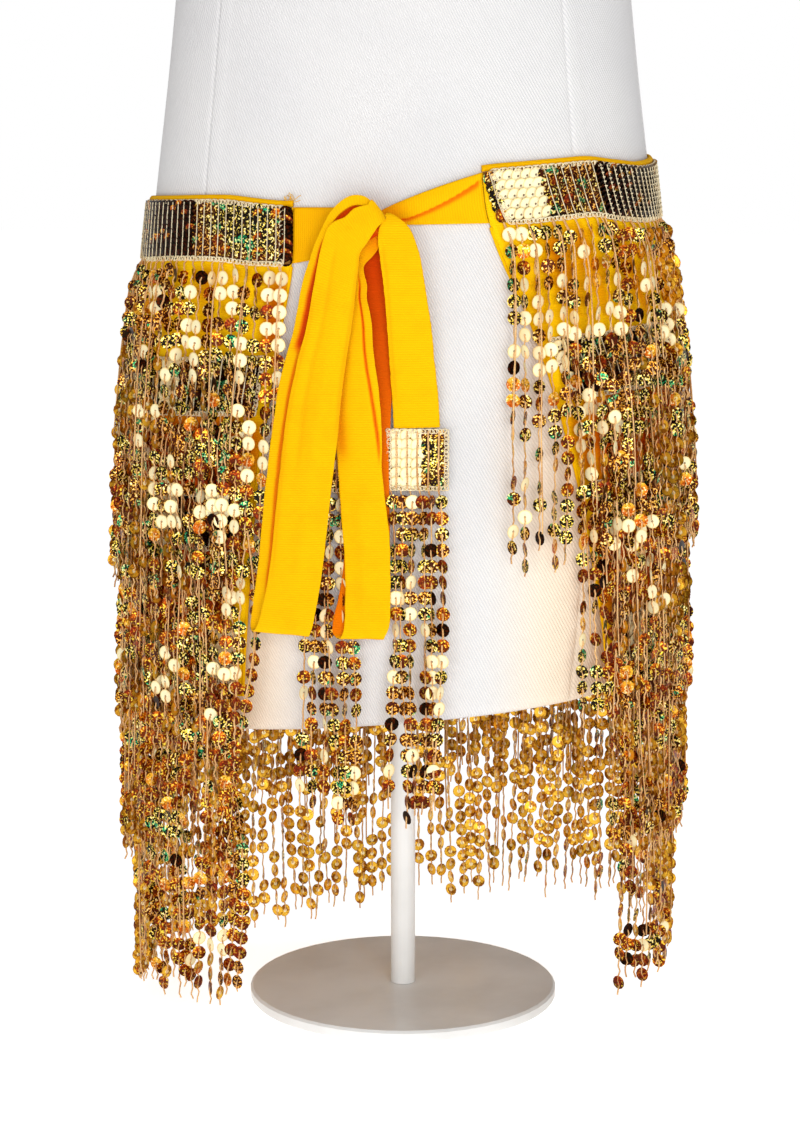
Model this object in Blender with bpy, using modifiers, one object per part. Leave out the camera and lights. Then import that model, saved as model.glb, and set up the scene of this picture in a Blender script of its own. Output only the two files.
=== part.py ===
# Belly dance hip scarf, tied in a bow round a limbless dress form on a plain stand.
# Metres, +Z up. The front faces -Y and +X is at the viewer's right.
# The origin is the centre of the stand's underside.

import math

import bmesh
import bpy
from mathutils import Vector


def table(columns, *rows):
    names = columns.split()
    return [dict(zip(names, row)) for row in rows]


# Dress form: upright sections between an ellipse and a rounded rectangle
FORM_POWER = 2.25
FORM_COLUMNS = 56
FORM_RINGS = 15
FORM_SECTIONS = table(
    "height half_width half_depth",
    (0.205, 0.1520, 0.1120),
    (0.255, 0.1590, 0.1165),
    (0.325, 0.1665, 0.1195),
    (0.400, 0.1650, 0.1185),
    (0.470, 0.1600, 0.1160),
    (0.535, 0.1525, 0.1120),
    (0.600, 0.1445, 0.1065),
    (0.690, 0.1350, 0.0990),
)
HIP_HEIGHT = 0.325
FORM_BOTTOM = 0.2045
FORM_BOTTOM_SLOPE = 0.10
FORM_TOP = 0.690
FORM_EDGE = 0.008
DOME_RISE = 0.016

# Stand
POLE_RADIUS = 0.008
BASE_RADIUS = 0.100
BASE_THICKNESS = 0.008
BASE_BEVEL = 0.0015

# Gaps and walls
SEAM_GAP = 0.0003
CLOTH_OFFSET = 0.0013
CLOTH_WALL = 0.0012
BAND_WALL = 0.0016
BAND_OFFSET = CLOTH_OFFSET + CLOTH_WALL + 0.0006

# Scarf: drop below the top edge, angle of each front edge, and how the hips lift that line.
# Angles are degrees round the form, 0 at the front and positive towards +X.
TOP_EDGE = 0.528
WRAP = table(
    "drop left right slope twist",
    (0.000, -25.0, 29.0, 0.085, 0.00),
    (0.036, -25.0, 31.0, 0.085, 0.00),
    (0.095, -29.0, 42.0, 0.080, 0.10),
    (0.180, -34.0, 51.5, 0.075, 0.35),
    (0.264, -37.0, 58.0, 0.085, 0.65),
    (0.306, -38.0, 60.0, 0.085, 0.70),
)
# How far the first band lies above that line, at its top and its lower edge, round the form.
# It fades out down to the second band.
LIFT = table(
    "angle top bottom",
    (-180, 0.0000, 0.0000),
    (-110, 0.0000, 0.0000),
    (-75, 0.0020, 0.0013),
    (-57, 0.0015, 0.0019),
    (-44, 0.0000, 0.0000),
    (-37, -0.0027, -0.0028),
    (-31, -0.0050, -0.0042),
    (-25, -0.0062, -0.0052),
    (29, 0.0045, 0.0085),
    (41, 0.0046, 0.0079),
    (50, 0.0043, 0.0079),
    (57, 0.0038, 0.0077),
    (65, 0.0002, 0.0033),
    (76, -0.0030, 0.0000),
    (110, 0.0000, 0.0000),
    (180, 0.0000, 0.0000),
)
LIFT_FADE = 0.061
CLOTH_DROP = 0.306
CLOTH_COLUMNS = 50
CLOTH_ROWS = 9
BINDING_HEIGHT = 0.0038
BINDING_WALL = 0.0024

# Sequin fringe: a band with strands that hang from its lower edge
# Each row starts at a drop below the top edge, stands back from the cloth's front edges by its
# inset and its slant in degrees, and is pushed out at its tips by the rows below it.
FRINGE_ROWS = table(
    "name drop inset slant out strands segments",
    ("fringe_row_1", 0.000, 0.0, 2.5, 0.0150, 52, 3),
    ("fringe_row_2", 0.095, 2.5, 0.5, 0.0125, 53, 4),
    ("fringe_row_3", 0.180, 2.5, 0.5, 0.0100, 54, 2),
    ("fringe_row_4", 0.264, 2.0, 0.5, 0.0008, 56, 2),
)
BAND_HEIGHT = 0.034
STRAND_LENGTH = 0.195
OUT_POWER = 0.6
FRONT_OUT = 0.62
FRONT_SPREAD = 0.14
STRAND_UNEVEN = 0.005
STRAND_SWAY = 0.0018

# Knot, straps and tails. A station gives the middle of the strap, how far it stands off the form,
# its width, and the turn of its width away from +X, in degrees.
KNOT_CENTRE = (-0.003, 0.510)
KNOT_HALF = (0.0150, 0.0145, 0.0065)
KNOT_OFFSET = 0.0094
KNOT_GROOVES = 3
KNOT_GROOVE_DEPTH = 0.06
# Strap from each front edge of the cloth: its width at the knot, and how soon it widens
TIES = table(
    "name edge side knot_width spread",
    ("tie_left", "left", -1, 0.016, 0.5),
    ("tie_right", "right", 1, 0.006, 0.8),
)
STRAP_WALL = 0.0012
STRAP_COLUMNS = 4
LOOP_LEFT = table(
    "along x height stand_off width turn ripple",
    (0.00, 0.004, 0.5160, 0.0166, 0.008, -70, 0.0000),
    (0.06, -0.009, 0.5205, 0.0174, 0.012, -78, 0.0004),
    (0.12, -0.021, 0.5120, 0.0176, 0.020, -34, 0.0010),
    (0.20, -0.026, 0.4860, 0.0170, 0.026, 0, 0.0012),
    (0.34, -0.036, 0.4230, 0.0170, 0.030, 4, 0.0009),
    (0.50, -0.050, 0.3440, 0.0200, 0.034, 4, 0.0006),
    (0.62, -0.061, 0.2670, 0.0216, 0.036, 2, 0.0003),
    (0.64, -0.061, 0.2630, 0.0194, 0.036, 2, 0.0003),
    (0.66, -0.062, 0.2670, 0.0172, 0.036, 2, 0.0003),
    (0.78, -0.055, 0.3440, 0.0160, 0.034, 4, 0.0005),
    (0.90, -0.042, 0.4230, 0.0126, 0.029, 4, 0.0005),
    (1.00, -0.023, 0.4880, 0.0080, 0.020, 0, 0.0008),
)
LOOP_RIGHT = table(
    "along x height stand_off width turn ripple",
    (0.00, -0.006, 0.4964, 0.0120, 0.012, 0, 0.0000),
    (0.14, -0.011, 0.4600, 0.0115, 0.016, -4, 0.0006),
    (0.30, -0.015, 0.4120, 0.0108, 0.023, -3, 0.0008),
    (0.46, -0.016, 0.3450, 0.0108, 0.031, 0, 0.0007),
    (0.60, -0.016, 0.2690, 0.0110, 0.033, 0, 0.0004),
    (0.62, -0.014, 0.2650, 0.0095, 0.033, 0, 0.0004),
    (0.64, -0.012, 0.2690, 0.0080, 0.033, 0, 0.0004),
    (0.78, -0.011, 0.3450, 0.0074, 0.032, 0, 0.0005),
    (0.90, -0.008, 0.4120, 0.0070, 0.024, 0, 0.0005),
    (1.00, -0.005, 0.4900, 0.0072, 0.014, 0, 0.0000),
)
TAIL_RIGHT = table(
    "along x height stand_off width turn ripple",
    (0.00, 0.0080, 0.5165, 0.0146, 0.010, 25, 0.0000),
    (0.08, 0.0100, 0.5080, 0.0156, 0.018, 18, 0.0005),
    (0.22, 0.0130, 0.4870, 0.0140, 0.025, 4, 0.0010),
    (0.60, 0.0210, 0.4360, 0.0070, 0.028, 2, 0.0006),
    (1.00, 0.0240, 0.3875, 0.0040, 0.029, 0, 0.0000),
)
TAIL_LEFT = table(
    "along x height stand_off width turn ripple",
    (0.00, -0.012, 0.4990, 0.0038, 0.014, 0, 0.0000),
    (0.30, -0.020, 0.4560, 0.0032, 0.022, 2, 0.0003),
    (0.65, -0.028, 0.4200, 0.0026, 0.028, 2, 0.0002),
    (1.00, -0.031, 0.3850, 0.0024, 0.029, 0, 0.0000),
)
TIP_SIZE = 0.034
TIP_STRANDS = 6
TIP_STRAND_SEGMENTS = 3
TIP_STRAND_LEAN = 0.004

CANVAS = ("canvas", (0.86, 0.83, 0.78), 0.85, 0.0)
METAL = ("stand_metal", (0.85, 0.85, 0.84), 0.35, 0.3)
CLOTH = ("yellow_cloth", (0.95, 0.62, 0.02), 0.75, 0.0)
SEQUIN = ("gold_sequins", (0.62, 0.40, 0.10), 0.30, 0.6)


def reading(rows, key, wanted, at):
    """One column's value on a smooth curve through the table's rows."""
    last = len(rows) - 1
    at = min(max(at, rows[0][key]), rows[last][key])
    i = next(n for n in range(last) if at <= rows[n + 1][key])
    start, end = rows[i], rows[i + 1]
    before, after = rows[max(i - 1, 0)], rows[min(i + 2, last)]
    span = end[key] - start[key]
    first = (end[wanted] - before[wanted]) / (end[key] - before[key]) * span
    second = (after[wanted] - start[wanted]) / (after[key] - start[key]) * span
    t = (at - start[key]) / span
    return (
        (2 * t**3 - 3 * t**2 + 1) * start[wanted]
        + (t**3 - 2 * t**2 + t) * first
        + (3 * t**2 - 2 * t**3) * end[wanted]
        + (t**3 - t**2) * second
    )


def form_radius(angle, height):
    half_width = reading(FORM_SECTIONS, "height", "half_width", height)
    half_depth = reading(FORM_SECTIONS, "height", "half_depth", height)
    across = abs(math.sin(math.radians(angle))) / half_width
    along = abs(math.cos(math.radians(angle))) / half_depth
    return (across**FORM_POWER + along**FORM_POWER) ** (-1 / FORM_POWER)


def on_form(angle, height, offset):
    radius = form_radius(angle, height) + offset
    turn = math.radians(angle)
    return Vector((radius * math.sin(turn), -radius * math.cos(turn), height))


def on_cloth(angle, height, offset):
    """Cloth lies on the form down to the hips, and hangs plumb below them."""
    point = on_form(angle, max(height, HIP_HEIGHT), offset)
    point.z = height
    return point


def before_form(x, height, offset):
    """A point in front of the form, at x, standing off its surface."""
    section = max(height, HIP_HEIGHT)
    half_width = reading(FORM_SECTIONS, "height", "half_width", section)
    half_depth = reading(FORM_SECTIONS, "height", "half_depth", section)
    depth = half_depth * (1 - abs(x / half_width) ** FORM_POWER) ** (1 / FORM_POWER)
    return Vector((x, -depth - offset, height))


def round_lengths():
    """Length of the hip section from 0 degrees to each whole degree."""
    lengths = [0.0]
    for angle in range(1, 361):
        step = on_form(angle, HIP_HEIGHT, 0) - on_form(angle - 1, HIP_HEIGHT, 0)
        lengths.append(lengths[-1] + step.length)
    return lengths


HIP_LENGTHS = round_lengths()


def hip_length(angle):
    whole = math.floor(angle)
    start, end = HIP_LENGTHS[whole], HIP_LENGTHS[min(whole + 1, 360)]
    return start + (end - start) * (angle - whole)


def hip_angle(length):
    whole = next(n for n in range(360) if length <= HIP_LENGTHS[n + 1] or n == 359)
    start, end = HIP_LENGTHS[whole], HIP_LENGTHS[whole + 1]
    return whole + (length - start) / (end - start)


def wrap_angle(drop, share, left_inset=0, right_inset=0):
    """Angle at a share of the way round the back, from the left front edge to the right one."""
    left = left_inset - reading(WRAP, "drop", "left", drop)
    right = 360 - right_inset - reading(WRAP, "drop", "right", drop)
    length = hip_length(left) + share * (hip_length(right) - hip_length(left))
    return -hip_angle(length)


def wrap_lift(drop, angle):
    around = (angle + 180) % 360 - 180
    top = reading(LIFT, "angle", "top", around)
    bottom = reading(LIFT, "angle", "bottom", around)
    fade = 1 - min(max(drop - BAND_HEIGHT, 0) / LIFT_FADE, 1)
    return (top + (bottom - top) * min(drop / BAND_HEIGHT, 1)) * fade


def wrap_height(drop, angle):
    """Height of the scarf's line at a drop below its top edge."""
    point = on_form(angle, HIP_HEIGHT, 0)
    slope = reading(WRAP, "drop", "slope", drop)
    twist = reading(WRAP, "drop", "twist", drop)
    return TOP_EDGE - drop + point.x * (slope + twist * point.y) + wrap_lift(drop, angle)


def material(name, colour, roughness, metallic):
    made = bpy.data.materials.get(name)
    if made is None:
        made = bpy.data.materials.new(name)
        made.use_nodes = True
        shader = made.node_tree.nodes["Principled BSDF"]
        shader.inputs["Base Color"].default_value = (*colour, 1.0)
        shader.inputs["Roughness"].default_value = roughness
        shader.inputs["Metallic"].default_value = metallic
    return made


def add_object(name, mesh_data, finish):
    mesh = bpy.data.meshes.new(name)
    mesh_data.to_mesh(mesh)
    mesh_data.free()
    mesh.materials.append(material(*finish))
    made = bpy.data.objects.new(name, mesh)
    PARTS.objects.link(made)
    return made


def face_outwards(made):
    bmesh.ops.recalc_face_normals(made, faces=made.faces)
    if made.calc_volume(signed=True) < 0:
        bmesh.ops.reverse_faces(made, faces=made.faces)


def block(columns, rows, place, strand_segments=0):
    """A wall from a unit block, with strands drawn down out of every other column of its lower edge.

    place turns a share across, a share up (below 0 on a strand) and a share through the wall
    into a point.
    """
    made = bmesh.new()
    bmesh.ops.create_grid(made, x_segments=columns, y_segments=rows, size=0.5)
    bmesh.ops.translate(made, verts=made.verts, vec=(0.5, 0.5, 0))
    pulled = bmesh.ops.extrude_face_region(made, geom=made.faces[:], use_keep_orig=True)
    outer = [item for item in pulled["geom"] if isinstance(item, bmesh.types.BMVert)]
    bmesh.ops.translate(made, verts=outer, vec=(0, 0, 1))
    if strand_segments:
        edge = [face for face in made.faces if face.calc_center_median().y < 0.001]
        feet = [face for face in edge if int(face.calc_center_median().x * columns) % 2 == 0]
        for _ in range(strand_segments):
            feet = bmesh.ops.extrude_discrete_faces(made, faces=feet)["faces"]
            ends = {vertex for face in feet for vertex in face.verts}
            bmesh.ops.translate(made, verts=list(ends), vec=(0, -1, 0))
    for vertex in made.verts:
        vertex.co = place(*vertex.co)
    face_outwards(made)
    return made


def strand_fall(across, up, count, segments):
    """How far down a strand a corner is, and how far the strand has swayed there."""
    number = round(across * (2 * count - 1)) // 2
    share = max(-up, 0) / segments
    fall = share * (STRAND_LENGTH + STRAND_UNEVEN * math.sin(2.4 * number))
    return fall, STRAND_SWAY * share**2 * math.sin(1.7 * number)


def strand_out(row, across, fall):
    """How far a strand stands out over the rows below it: less near the two front edges."""
    share = min(min(across, 1 - across) / FRONT_SPREAD, 1)
    front = FRONT_OUT + (1 - FRONT_OUT) * share**2
    return row["out"] * front * (fall / STRAND_LENGTH) ** OUT_POWER


def add_fringe_row(row):
    def place(across, up, through):
        down = 1 - max(up, 0)
        drop = row["drop"] + BAND_HEIGHT * down
        angle = wrap_angle(drop, across, row["inset"], row["inset"] + row["slant"] * down)
        height = wrap_height(drop, angle)
        fall, sway = strand_fall(across, up, row["strands"], row["segments"])
        angle += math.degrees(sway / form_radius(angle, HIP_HEIGHT))
        offset = BAND_OFFSET + BAND_WALL * through + strand_out(row, across, fall)
        return on_cloth(angle, height - fall, offset)

    made = block(2 * row["strands"] - 1, 1, place, row["segments"])
    add_object(row["name"], made, SEQUIN)


def add_base_panel():
    def place(across, up, through):
        drop = CLOTH_DROP * (1 - up)
        angle = wrap_angle(drop, across)
        return on_cloth(angle, wrap_height(drop, angle), CLOTH_OFFSET + CLOTH_WALL * through)

    add_object("base_panel", block(CLOTH_COLUMNS, CLOTH_ROWS, place), CLOTH)


def add_top_binding():
    def place(across, up, through):
        angle = wrap_angle(0, across)
        height = wrap_height(0, angle) + SEAM_GAP + BINDING_HEIGHT * up
        bulge = BINDING_WALL * (0.75 + 0.25 * math.sin(math.pi * up))
        return on_cloth(angle, height, CLOTH_OFFSET + bulge * through)

    add_object("top_binding", block(CLOTH_COLUMNS, 2, place), CLOTH)


def add_form():
    """Rings of a sphere set to the form's sections, with a flat underside and a low dome on top."""
    made = bmesh.new()
    bmesh.ops.create_uvsphere(made, u_segments=FORM_COLUMNS, v_segments=FORM_RINGS, radius=1)
    walls = FORM_RINGS - 5
    for vertex in made.verts:
        ring = round((1 - math.acos(max(-1, min(1, vertex.co.z))) / math.pi) * FORM_RINGS)
        angle = math.degrees(math.atan2(vertex.co.x, -vertex.co.y))
        share = min(max((ring - 2) / walls, 0), 1)
        height = FORM_BOTTOM + FORM_EDGE + share * (FORM_TOP - FORM_BOTTOM - FORM_EDGE)
        point = on_form(angle, height, 0)
        if ring <= 1:
            point = on_form(angle, height, -0.6 * FORM_EDGE) * ring
            point.z = FORM_BOTTOM
        elif ring >= FORM_RINGS - 2:
            size = math.cos(math.radians((0, 52, 90)[ring - FORM_RINGS + 2]))
            rise = math.sin(math.radians((0, 52, 90)[ring - FORM_RINGS + 2]))
            point = Vector((point.x * size, point.y * size, FORM_TOP + DOME_RISE * rise))
        slope_share = max(0, 1 - (height - FORM_BOTTOM) / (HIP_HEIGHT - FORM_BOTTOM))
        point.z += FORM_BOTTOM_SLOPE * point.x * slope_share**0.5
        vertex.co = point
    face_outwards(made)
    add_object("form_body", made, CANVAS)


def add_stand():
    base = bmesh.new()
    bmesh.ops.create_cone(
        base, cap_ends=True, segments=48, radius1=BASE_RADIUS, radius2=BASE_RADIUS, depth=BASE_THICKNESS
    )
    bmesh.ops.translate(base, verts=base.verts, vec=(0, 0, BASE_THICKNESS / 2))
    disc = add_object("stand_base", base, METAL)
    bevel = disc.modifiers.new("edge", "BEVEL")
    bevel.width = BASE_BEVEL
    bevel.segments = 1
    bevel.limit_method = "ANGLE"

    bottom = BASE_THICKNESS + SEAM_GAP
    top = FORM_BOTTOM - SEAM_GAP
    pole = bmesh.new()
    bmesh.ops.create_cone(
        pole, cap_ends=True, segments=24, radius1=POLE_RADIUS, radius2=POLE_RADIUS, depth=top - bottom
    )
    bmesh.ops.translate(pole, verts=pole.verts, vec=(0, 0, (top + bottom) / 2))
    for vertex in pole.verts:
        if vertex.co.z > bottom + 0.01:
            vertex.co.z += FORM_BOTTOM_SLOPE * vertex.co.x
    add_object("stand_pole", pole, METAL)


def add_tie(tie):
    """A strap from one front edge of the cloth to the middle of the knot."""
    side = tie["side"]
    start = math.degrees(math.atan2(KNOT_CENTRE[0] + side * SEAM_GAP, form_radius(0, TOP_EDGE)))

    def place(across, up, through):
        drop = BAND_HEIGHT * (1 - across)
        edge = reading(WRAP, "drop", tie["edge"], drop)
        gap = math.degrees(1.5 * SEAM_GAP / form_radius(edge, TOP_EDGE))
        share = up if side > 0 else 1 - up
        angle = start + (edge - side * gap - start) * share
        outer = wrap_height(drop, edge)
        inner = KNOT_CENTRE[1] + tie["knot_width"] * (across - 0.5)
        height = inner + (outer - inner) * share ** tie["spread"]
        return on_form(angle, height, CLOTH_OFFSET + STRAP_WALL * through)

    add_object(tie["name"], block(4, 8, place), CLOTH)


def add_knot():
    made = bmesh.new()
    bmesh.ops.create_uvsphere(made, u_segments=16, v_segments=10, radius=1)
    for vertex in made.verts:
        wrap = KNOT_GROOVES * (vertex.co.z + 0.6 * vertex.co.x) * math.pi / 2
        size = 1 - KNOT_GROOVE_DEPTH * abs(math.sin(wrap))
        x = KNOT_CENTRE[0] + KNOT_HALF[0] * vertex.co.x * size
        height = KNOT_CENTRE[1] + KNOT_HALF[1] * vertex.co.z * size
        vertex.co = before_form(x, height, KNOT_OFFSET - KNOT_HALF[2] * vertex.co.y * size)
    face_outwards(made)
    add_object("knot", made, CLOTH)


def strap_frame(stations, along):
    """Middle, width direction and outward direction of a strap, as x, stand-off and height."""

    def middle(at):
        return Vector([reading(stations, "along", column, at) for column in ("x", "stand_off", "height")])

    turn = math.radians(reading(stations, "along", "turn", along))
    across = Vector((math.cos(turn), 0, math.sin(turn)))
    path = middle(min(along + 0.01, 1)) - middle(max(along - 0.01, 0))
    outward = across.cross(path)
    return middle(along), across, outward.normalized()


def strap_point(stations, across, along, through, wall):
    middle, width_way, outward = strap_frame(stations, along)
    width = reading(stations, "along", "width", along)
    ripple = reading(stations, "along", "ripple", along) * math.sin(2 * math.pi * across)
    point = middle + width_way * width * (across - 0.5) + outward * (wall * through + ripple)
    return before_form(point.x, point.z, point.y)


def add_strap(name, stations, samples):
    def place(across, up, through):
        return strap_point(stations, across, 1 - up, through, STRAP_WALL)

    add_object(name, block(STRAP_COLUMNS, samples, place), CLOTH)


def add_tip(name, stations):
    """Square sequin block at the end of a tail, with its own strands."""
    end = stations[-1]

    def place(across, up, through):
        fall, sway = strand_fall(across, up, TIP_STRANDS, TIP_STRAND_SEGMENTS)
        x = end["x"] + TIP_SIZE * (across - 0.5) + 0.3 * sway
        height = end["height"] - SEAM_GAP - TIP_SIZE * (1 - max(up, 0)) - fall
        return before_form(x, height, end["stand_off"] + BAND_WALL * through + TIP_STRAND_LEAN * fall)

    add_object(name, block(2 * TIP_STRANDS - 1, 2, place, TIP_STRAND_SEGMENTS), SEQUIN)


def clear_scene():
    for old in list(bpy.data.objects):
        bpy.data.objects.remove(old, do_unlink=True)


clear_scene()
PARTS = bpy.data.collections.new("belly_dance_hip_scarf")
bpy.context.scene.collection.children.link(PARTS)

add_form()
add_stand()
add_base_panel()
add_top_binding()
for fringe_row in FRINGE_ROWS:
    add_fringe_row(fringe_row)
for strap_tie in TIES:
    add_tie(strap_tie)
add_knot()
add_strap("loop_left", LOOP_LEFT, 34)
add_strap("loop_right", LOOP_RIGHT, 30)
add_strap("tail_right", TAIL_RIGHT, 12)
add_strap("tail_left", TAIL_LEFT, 8)
add_tip("tip_right", TAIL_RIGHT)
add_tip("tip_left", TAIL_LEFT)
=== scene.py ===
# Belly dance hip scarf tied in a bow round a dress form: cloth, sequins, threads, stand and studio.
# Metres, +Z up, the front faces -Y. The shapes follow the CAD model's own lines.

import math
import random

import bmesh
import bpy
from mathutils import Matrix, Vector, noise


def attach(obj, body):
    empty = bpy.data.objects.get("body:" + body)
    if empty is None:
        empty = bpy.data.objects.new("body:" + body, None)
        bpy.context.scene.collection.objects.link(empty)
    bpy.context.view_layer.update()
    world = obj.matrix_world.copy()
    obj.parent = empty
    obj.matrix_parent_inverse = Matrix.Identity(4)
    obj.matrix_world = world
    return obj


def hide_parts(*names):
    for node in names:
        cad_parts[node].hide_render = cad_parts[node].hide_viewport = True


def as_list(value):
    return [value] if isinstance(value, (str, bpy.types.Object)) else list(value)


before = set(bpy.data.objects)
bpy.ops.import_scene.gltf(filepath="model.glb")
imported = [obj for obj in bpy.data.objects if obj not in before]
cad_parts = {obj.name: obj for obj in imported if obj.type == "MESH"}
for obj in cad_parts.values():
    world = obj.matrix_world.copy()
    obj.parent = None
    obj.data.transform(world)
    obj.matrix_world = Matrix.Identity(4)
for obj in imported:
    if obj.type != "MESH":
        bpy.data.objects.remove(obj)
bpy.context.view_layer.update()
print("frame loaded")


# Camera, as the photograph was taken
photoSize = (800, 1143)
sensorSize = 36
cameraView = {"azimuth": 7.0, "pitch": 10.0, "distance": 1.8, "aim": 0.281, "lens": 88.57, "side": -3 / 1143}


def addCamera():
    turn = math.radians(cameraView["azimuth"])
    pitch = math.radians(cameraView["pitch"])
    away = cameraView["distance"]
    camera = bpy.data.objects.new("camera", bpy.data.cameras.new("camera"))
    bpy.context.scene.collection.objects.link(camera)
    camera.location = (
        away * math.sin(turn) * math.cos(pitch),
        -away * math.cos(turn) * math.cos(pitch),
        cameraView["aim"] + away * math.sin(pitch),
    )
    camera.rotation_euler = (math.pi / 2 - pitch, 0, turn)
    camera.data.lens = cameraView["lens"]
    camera.data.shift_x = cameraView["side"]
    camera.data.clip_start = 0.05
    bpy.context.scene.camera = camera


addCamera()


# Node trees: a value whose arithmetic adds Math nodes, and a graph that adds any other node
class Value:
    def __init__(self, graph, socket):
        self.graph = graph
        self.socket = socket

    def maths(self, operation, *inputs):
        return self.graph.add("ShaderNodeMath", {"operation": operation}, dict(enumerate(inputs)))

    def output(self, name):
        return Value(self.graph, self.socket.node.outputs[name])

    def __add__(self, other):
        return self.maths("ADD", self, other)

    def __sub__(self, other):
        return self.maths("SUBTRACT", self, other)

    def __rsub__(self, other):
        return self.maths("SUBTRACT", other, self)

    def __mul__(self, other):
        return self.maths("MULTIPLY", self, other)

    def __lt__(self, other):
        return self.maths("LESS_THAN", self, other)

    __radd__ = __add__
    __rmul__ = __mul__

    def sine(self):
        return self.maths("SINE", self)

    def size(self):
        return self.maths("ABSOLUTE", self)

    # 0 below low and 1 above high, with a soft step between
    def step(self, low, high):
        values = {"Value": self, "From Min": low, "From Max": high}
        return self.graph.add("ShaderNodeMapRange", {"interpolation_type": "SMOOTHSTEP"}, values)


class Graph:
    def __init__(self, tree):
        self.tree = tree

    def add(self, kind, settings=None, values=None, out=0):
        node = self.tree.nodes.new(kind)
        for name, value in (settings or {}).items():
            setattr(node, name, value)
        for name, value in (values or {}).items():
            self.feed(node.inputs[name], value)
        return Value(self, node.outputs[out]) if node.outputs else node

    def feed(self, socket, value):
        if isinstance(value, Value):
            self.tree.links.new(value.socket, socket)
        else:
            socket.default_value = value

    def noise(self, coords, scale, detail=1.0, roughness=0.5):
        values = {"Vector": coords, "Scale": scale, "Detail": detail, "Roughness": roughness}
        return self.add("ShaderNodeTexNoise", {}, values)

    def mix(self, first, second, share):
        return self.add("ShaderNodeMix", {"data_type": "RGBA"}, {0: share, 6: first, 7: second}, 2)

    def split(self, vector):
        return self.add("ShaderNodeSeparateXYZ", {}, {"Vector": vector})


# sRGB 0-255, as read off a picture, to a linear colour
def colour(red, green, blue):
    linear = [((c / 255 + 0.055) / 1.055) ** 2.4 if c > 10 else c / 255 / 12.92 for c in (red, green, blue)]
    return (*linear, 1.0)


class Finish(Graph):
    def __init__(self, name, **constants):
        self.material = bpy.data.materials.new(name)
        self.material.use_nodes = True
        super().__init__(self.material.node_tree)
        self.shader = self.tree.nodes["Principled BSDF"]
        for word, value in constants.items():
            self.feed(self.shader.inputs[word.replace("_", " ").title().replace("Ior", "IOR")], value)

    def paint(self, **sockets):
        for word, value in sockets.items():
            self.feed(self.shader.inputs[word.replace("_", " ").title()], value)

    def bump(self, height, distance, strength=1.0):
        values = {"Height": height, "Distance": distance, "Strength": strength}
        self.feed(self.shader.inputs["Normal"], self.add("ShaderNodeBump", {}, values))

    def place(self):
        return self.add("ShaderNodeTexCoord", {}, {}, "Object")

    def weaveMap(self):
        return self.split(self.add("ShaderNodeUVMap", {"uv_map": "weave"}))

    def attribute(self, name, out="Fac"):
        return self.add("ShaderNodeAttribute", {"attribute_name": name}, {}, out)


# The warm colour is painted light, thrown onto the canvas by the gold fringe
canvasLook = {
    "pale": colour(233, 231, 229), "shade": colour(208, 207, 210), "twillPitch": 0.0021, "lean": 0.62,
    "relief": 0.00020, "speck": 0.10, "warm": colour(248, 226, 196), "paintedBounceShare": 0.75,
}


def canvasFinish():
    look = canvasLook
    made = Finish("formCanvas", roughness=0.85, specular_ior_level=0.2)
    weave = made.weaveMap()
    across, up = weave, weave.output("Y")
    place = made.place()
    wander = made.noise(place, 160, 2.0) * 0.0006
    turns = 2 * math.pi / look["twillPitch"]
    twill = ((across + up * look["lean"] + wander) * turns).sine()
    yarn = (up * (turns * 1.6)).sine() * (across * (turns * 1.6)).sine()
    cloudy = made.noise(place, 9, 3.0)
    fibre = made.noise(place, 900, 2.0)
    height = twill * 0.5 + yarn * 0.25 + fibre * 0.3
    valleys = (0.5 - twill * 0.5).step(0.15, 0.95) * 0.55
    shade = valleys + cloudy.step(0.35, 0.75) * 0.25 + fibre * look["speck"]
    base = made.mix(look["pale"], look["shade"], shade)
    # Painted reflection: warm light from the gold fringe on the canvas at its sides, low down
    spot = made.split(place)
    paintedBounceNearFringe = (spot - 0.012).size().step(0.045, 0.095) * (1 - spot.output("Z").step(0.34, 0.50))
    made.paint(base_color=made.mix(base, look["warm"], paintedBounceNearFringe * look["paintedBounceShare"]))
    made.bump(height, look["relief"])
    return made.material


# Two orange colours paint the shade in folds and in deep hollows, and one brighter yellow paints light on the
# cloth
clothLook = {
    "bright": colour(246, 190, 0), "deep": colour(238, 168, 0), "paintedShade": colour(232, 118, 0),
    "paintedCavityShade": colour(204, 62, 0), "lit": colour(255, 205, 6), "ribPitch": 0.0014, "yarnPitch": 0.0011,
    "relief": 0.00011,
}


def yellowFinish():
    look = clothLook
    made = Finish(
        "saffronCloth", roughness=0.8, specular_ior_level=0.06, sheen_weight=0.02, sheen_roughness=0.4
    )
    weave = made.weaveMap()
    across, along = weave, weave.output("Y")
    place = made.place()
    uneven = made.noise(place, 240, 2.0) * 0.00045
    rib = ((along + uneven) * (2 * math.pi / look["ribPitch"])).sine()
    yarn = ((across + uneven) * (2 * math.pi / look["yarnPitch"])).sine()
    slub = made.noise(place, 70, 3.0).step(0.45, 0.7)
    deepShare = (0.5 - rib * 0.5) * 0.42 + slub * 0.22 + (yarn.size()) * 0.08
    base = made.mix(look["bright"], look["deep"], deepShare)
    # Painted light and shade from each point's value: below zero the brighter lit colour, above it the orange
    # shade of folds, then the deeper shade of hollows
    paintedShade = made.attribute("paintedShade")
    lit = made.mix(base, look["lit"], (0 - paintedShade).step(0.0, 0.5))
    folded = made.mix(lit, look["paintedShade"], paintedShade.step(0.0, 0.6))
    made.paint(base_color=made.mix(folded, look["paintedCavityShade"], paintedShade.step(0.55, 1.0)))
    made.bump(rib * 0.6 + yarn * 0.25 + made.noise(place, 1200, 1.0) * 0.3, look["relief"])
    return made.material


threadLook = {"light": colour(248, 204, 142), "dark": colour(196, 124, 58), "plyScale": 1500}


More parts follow.
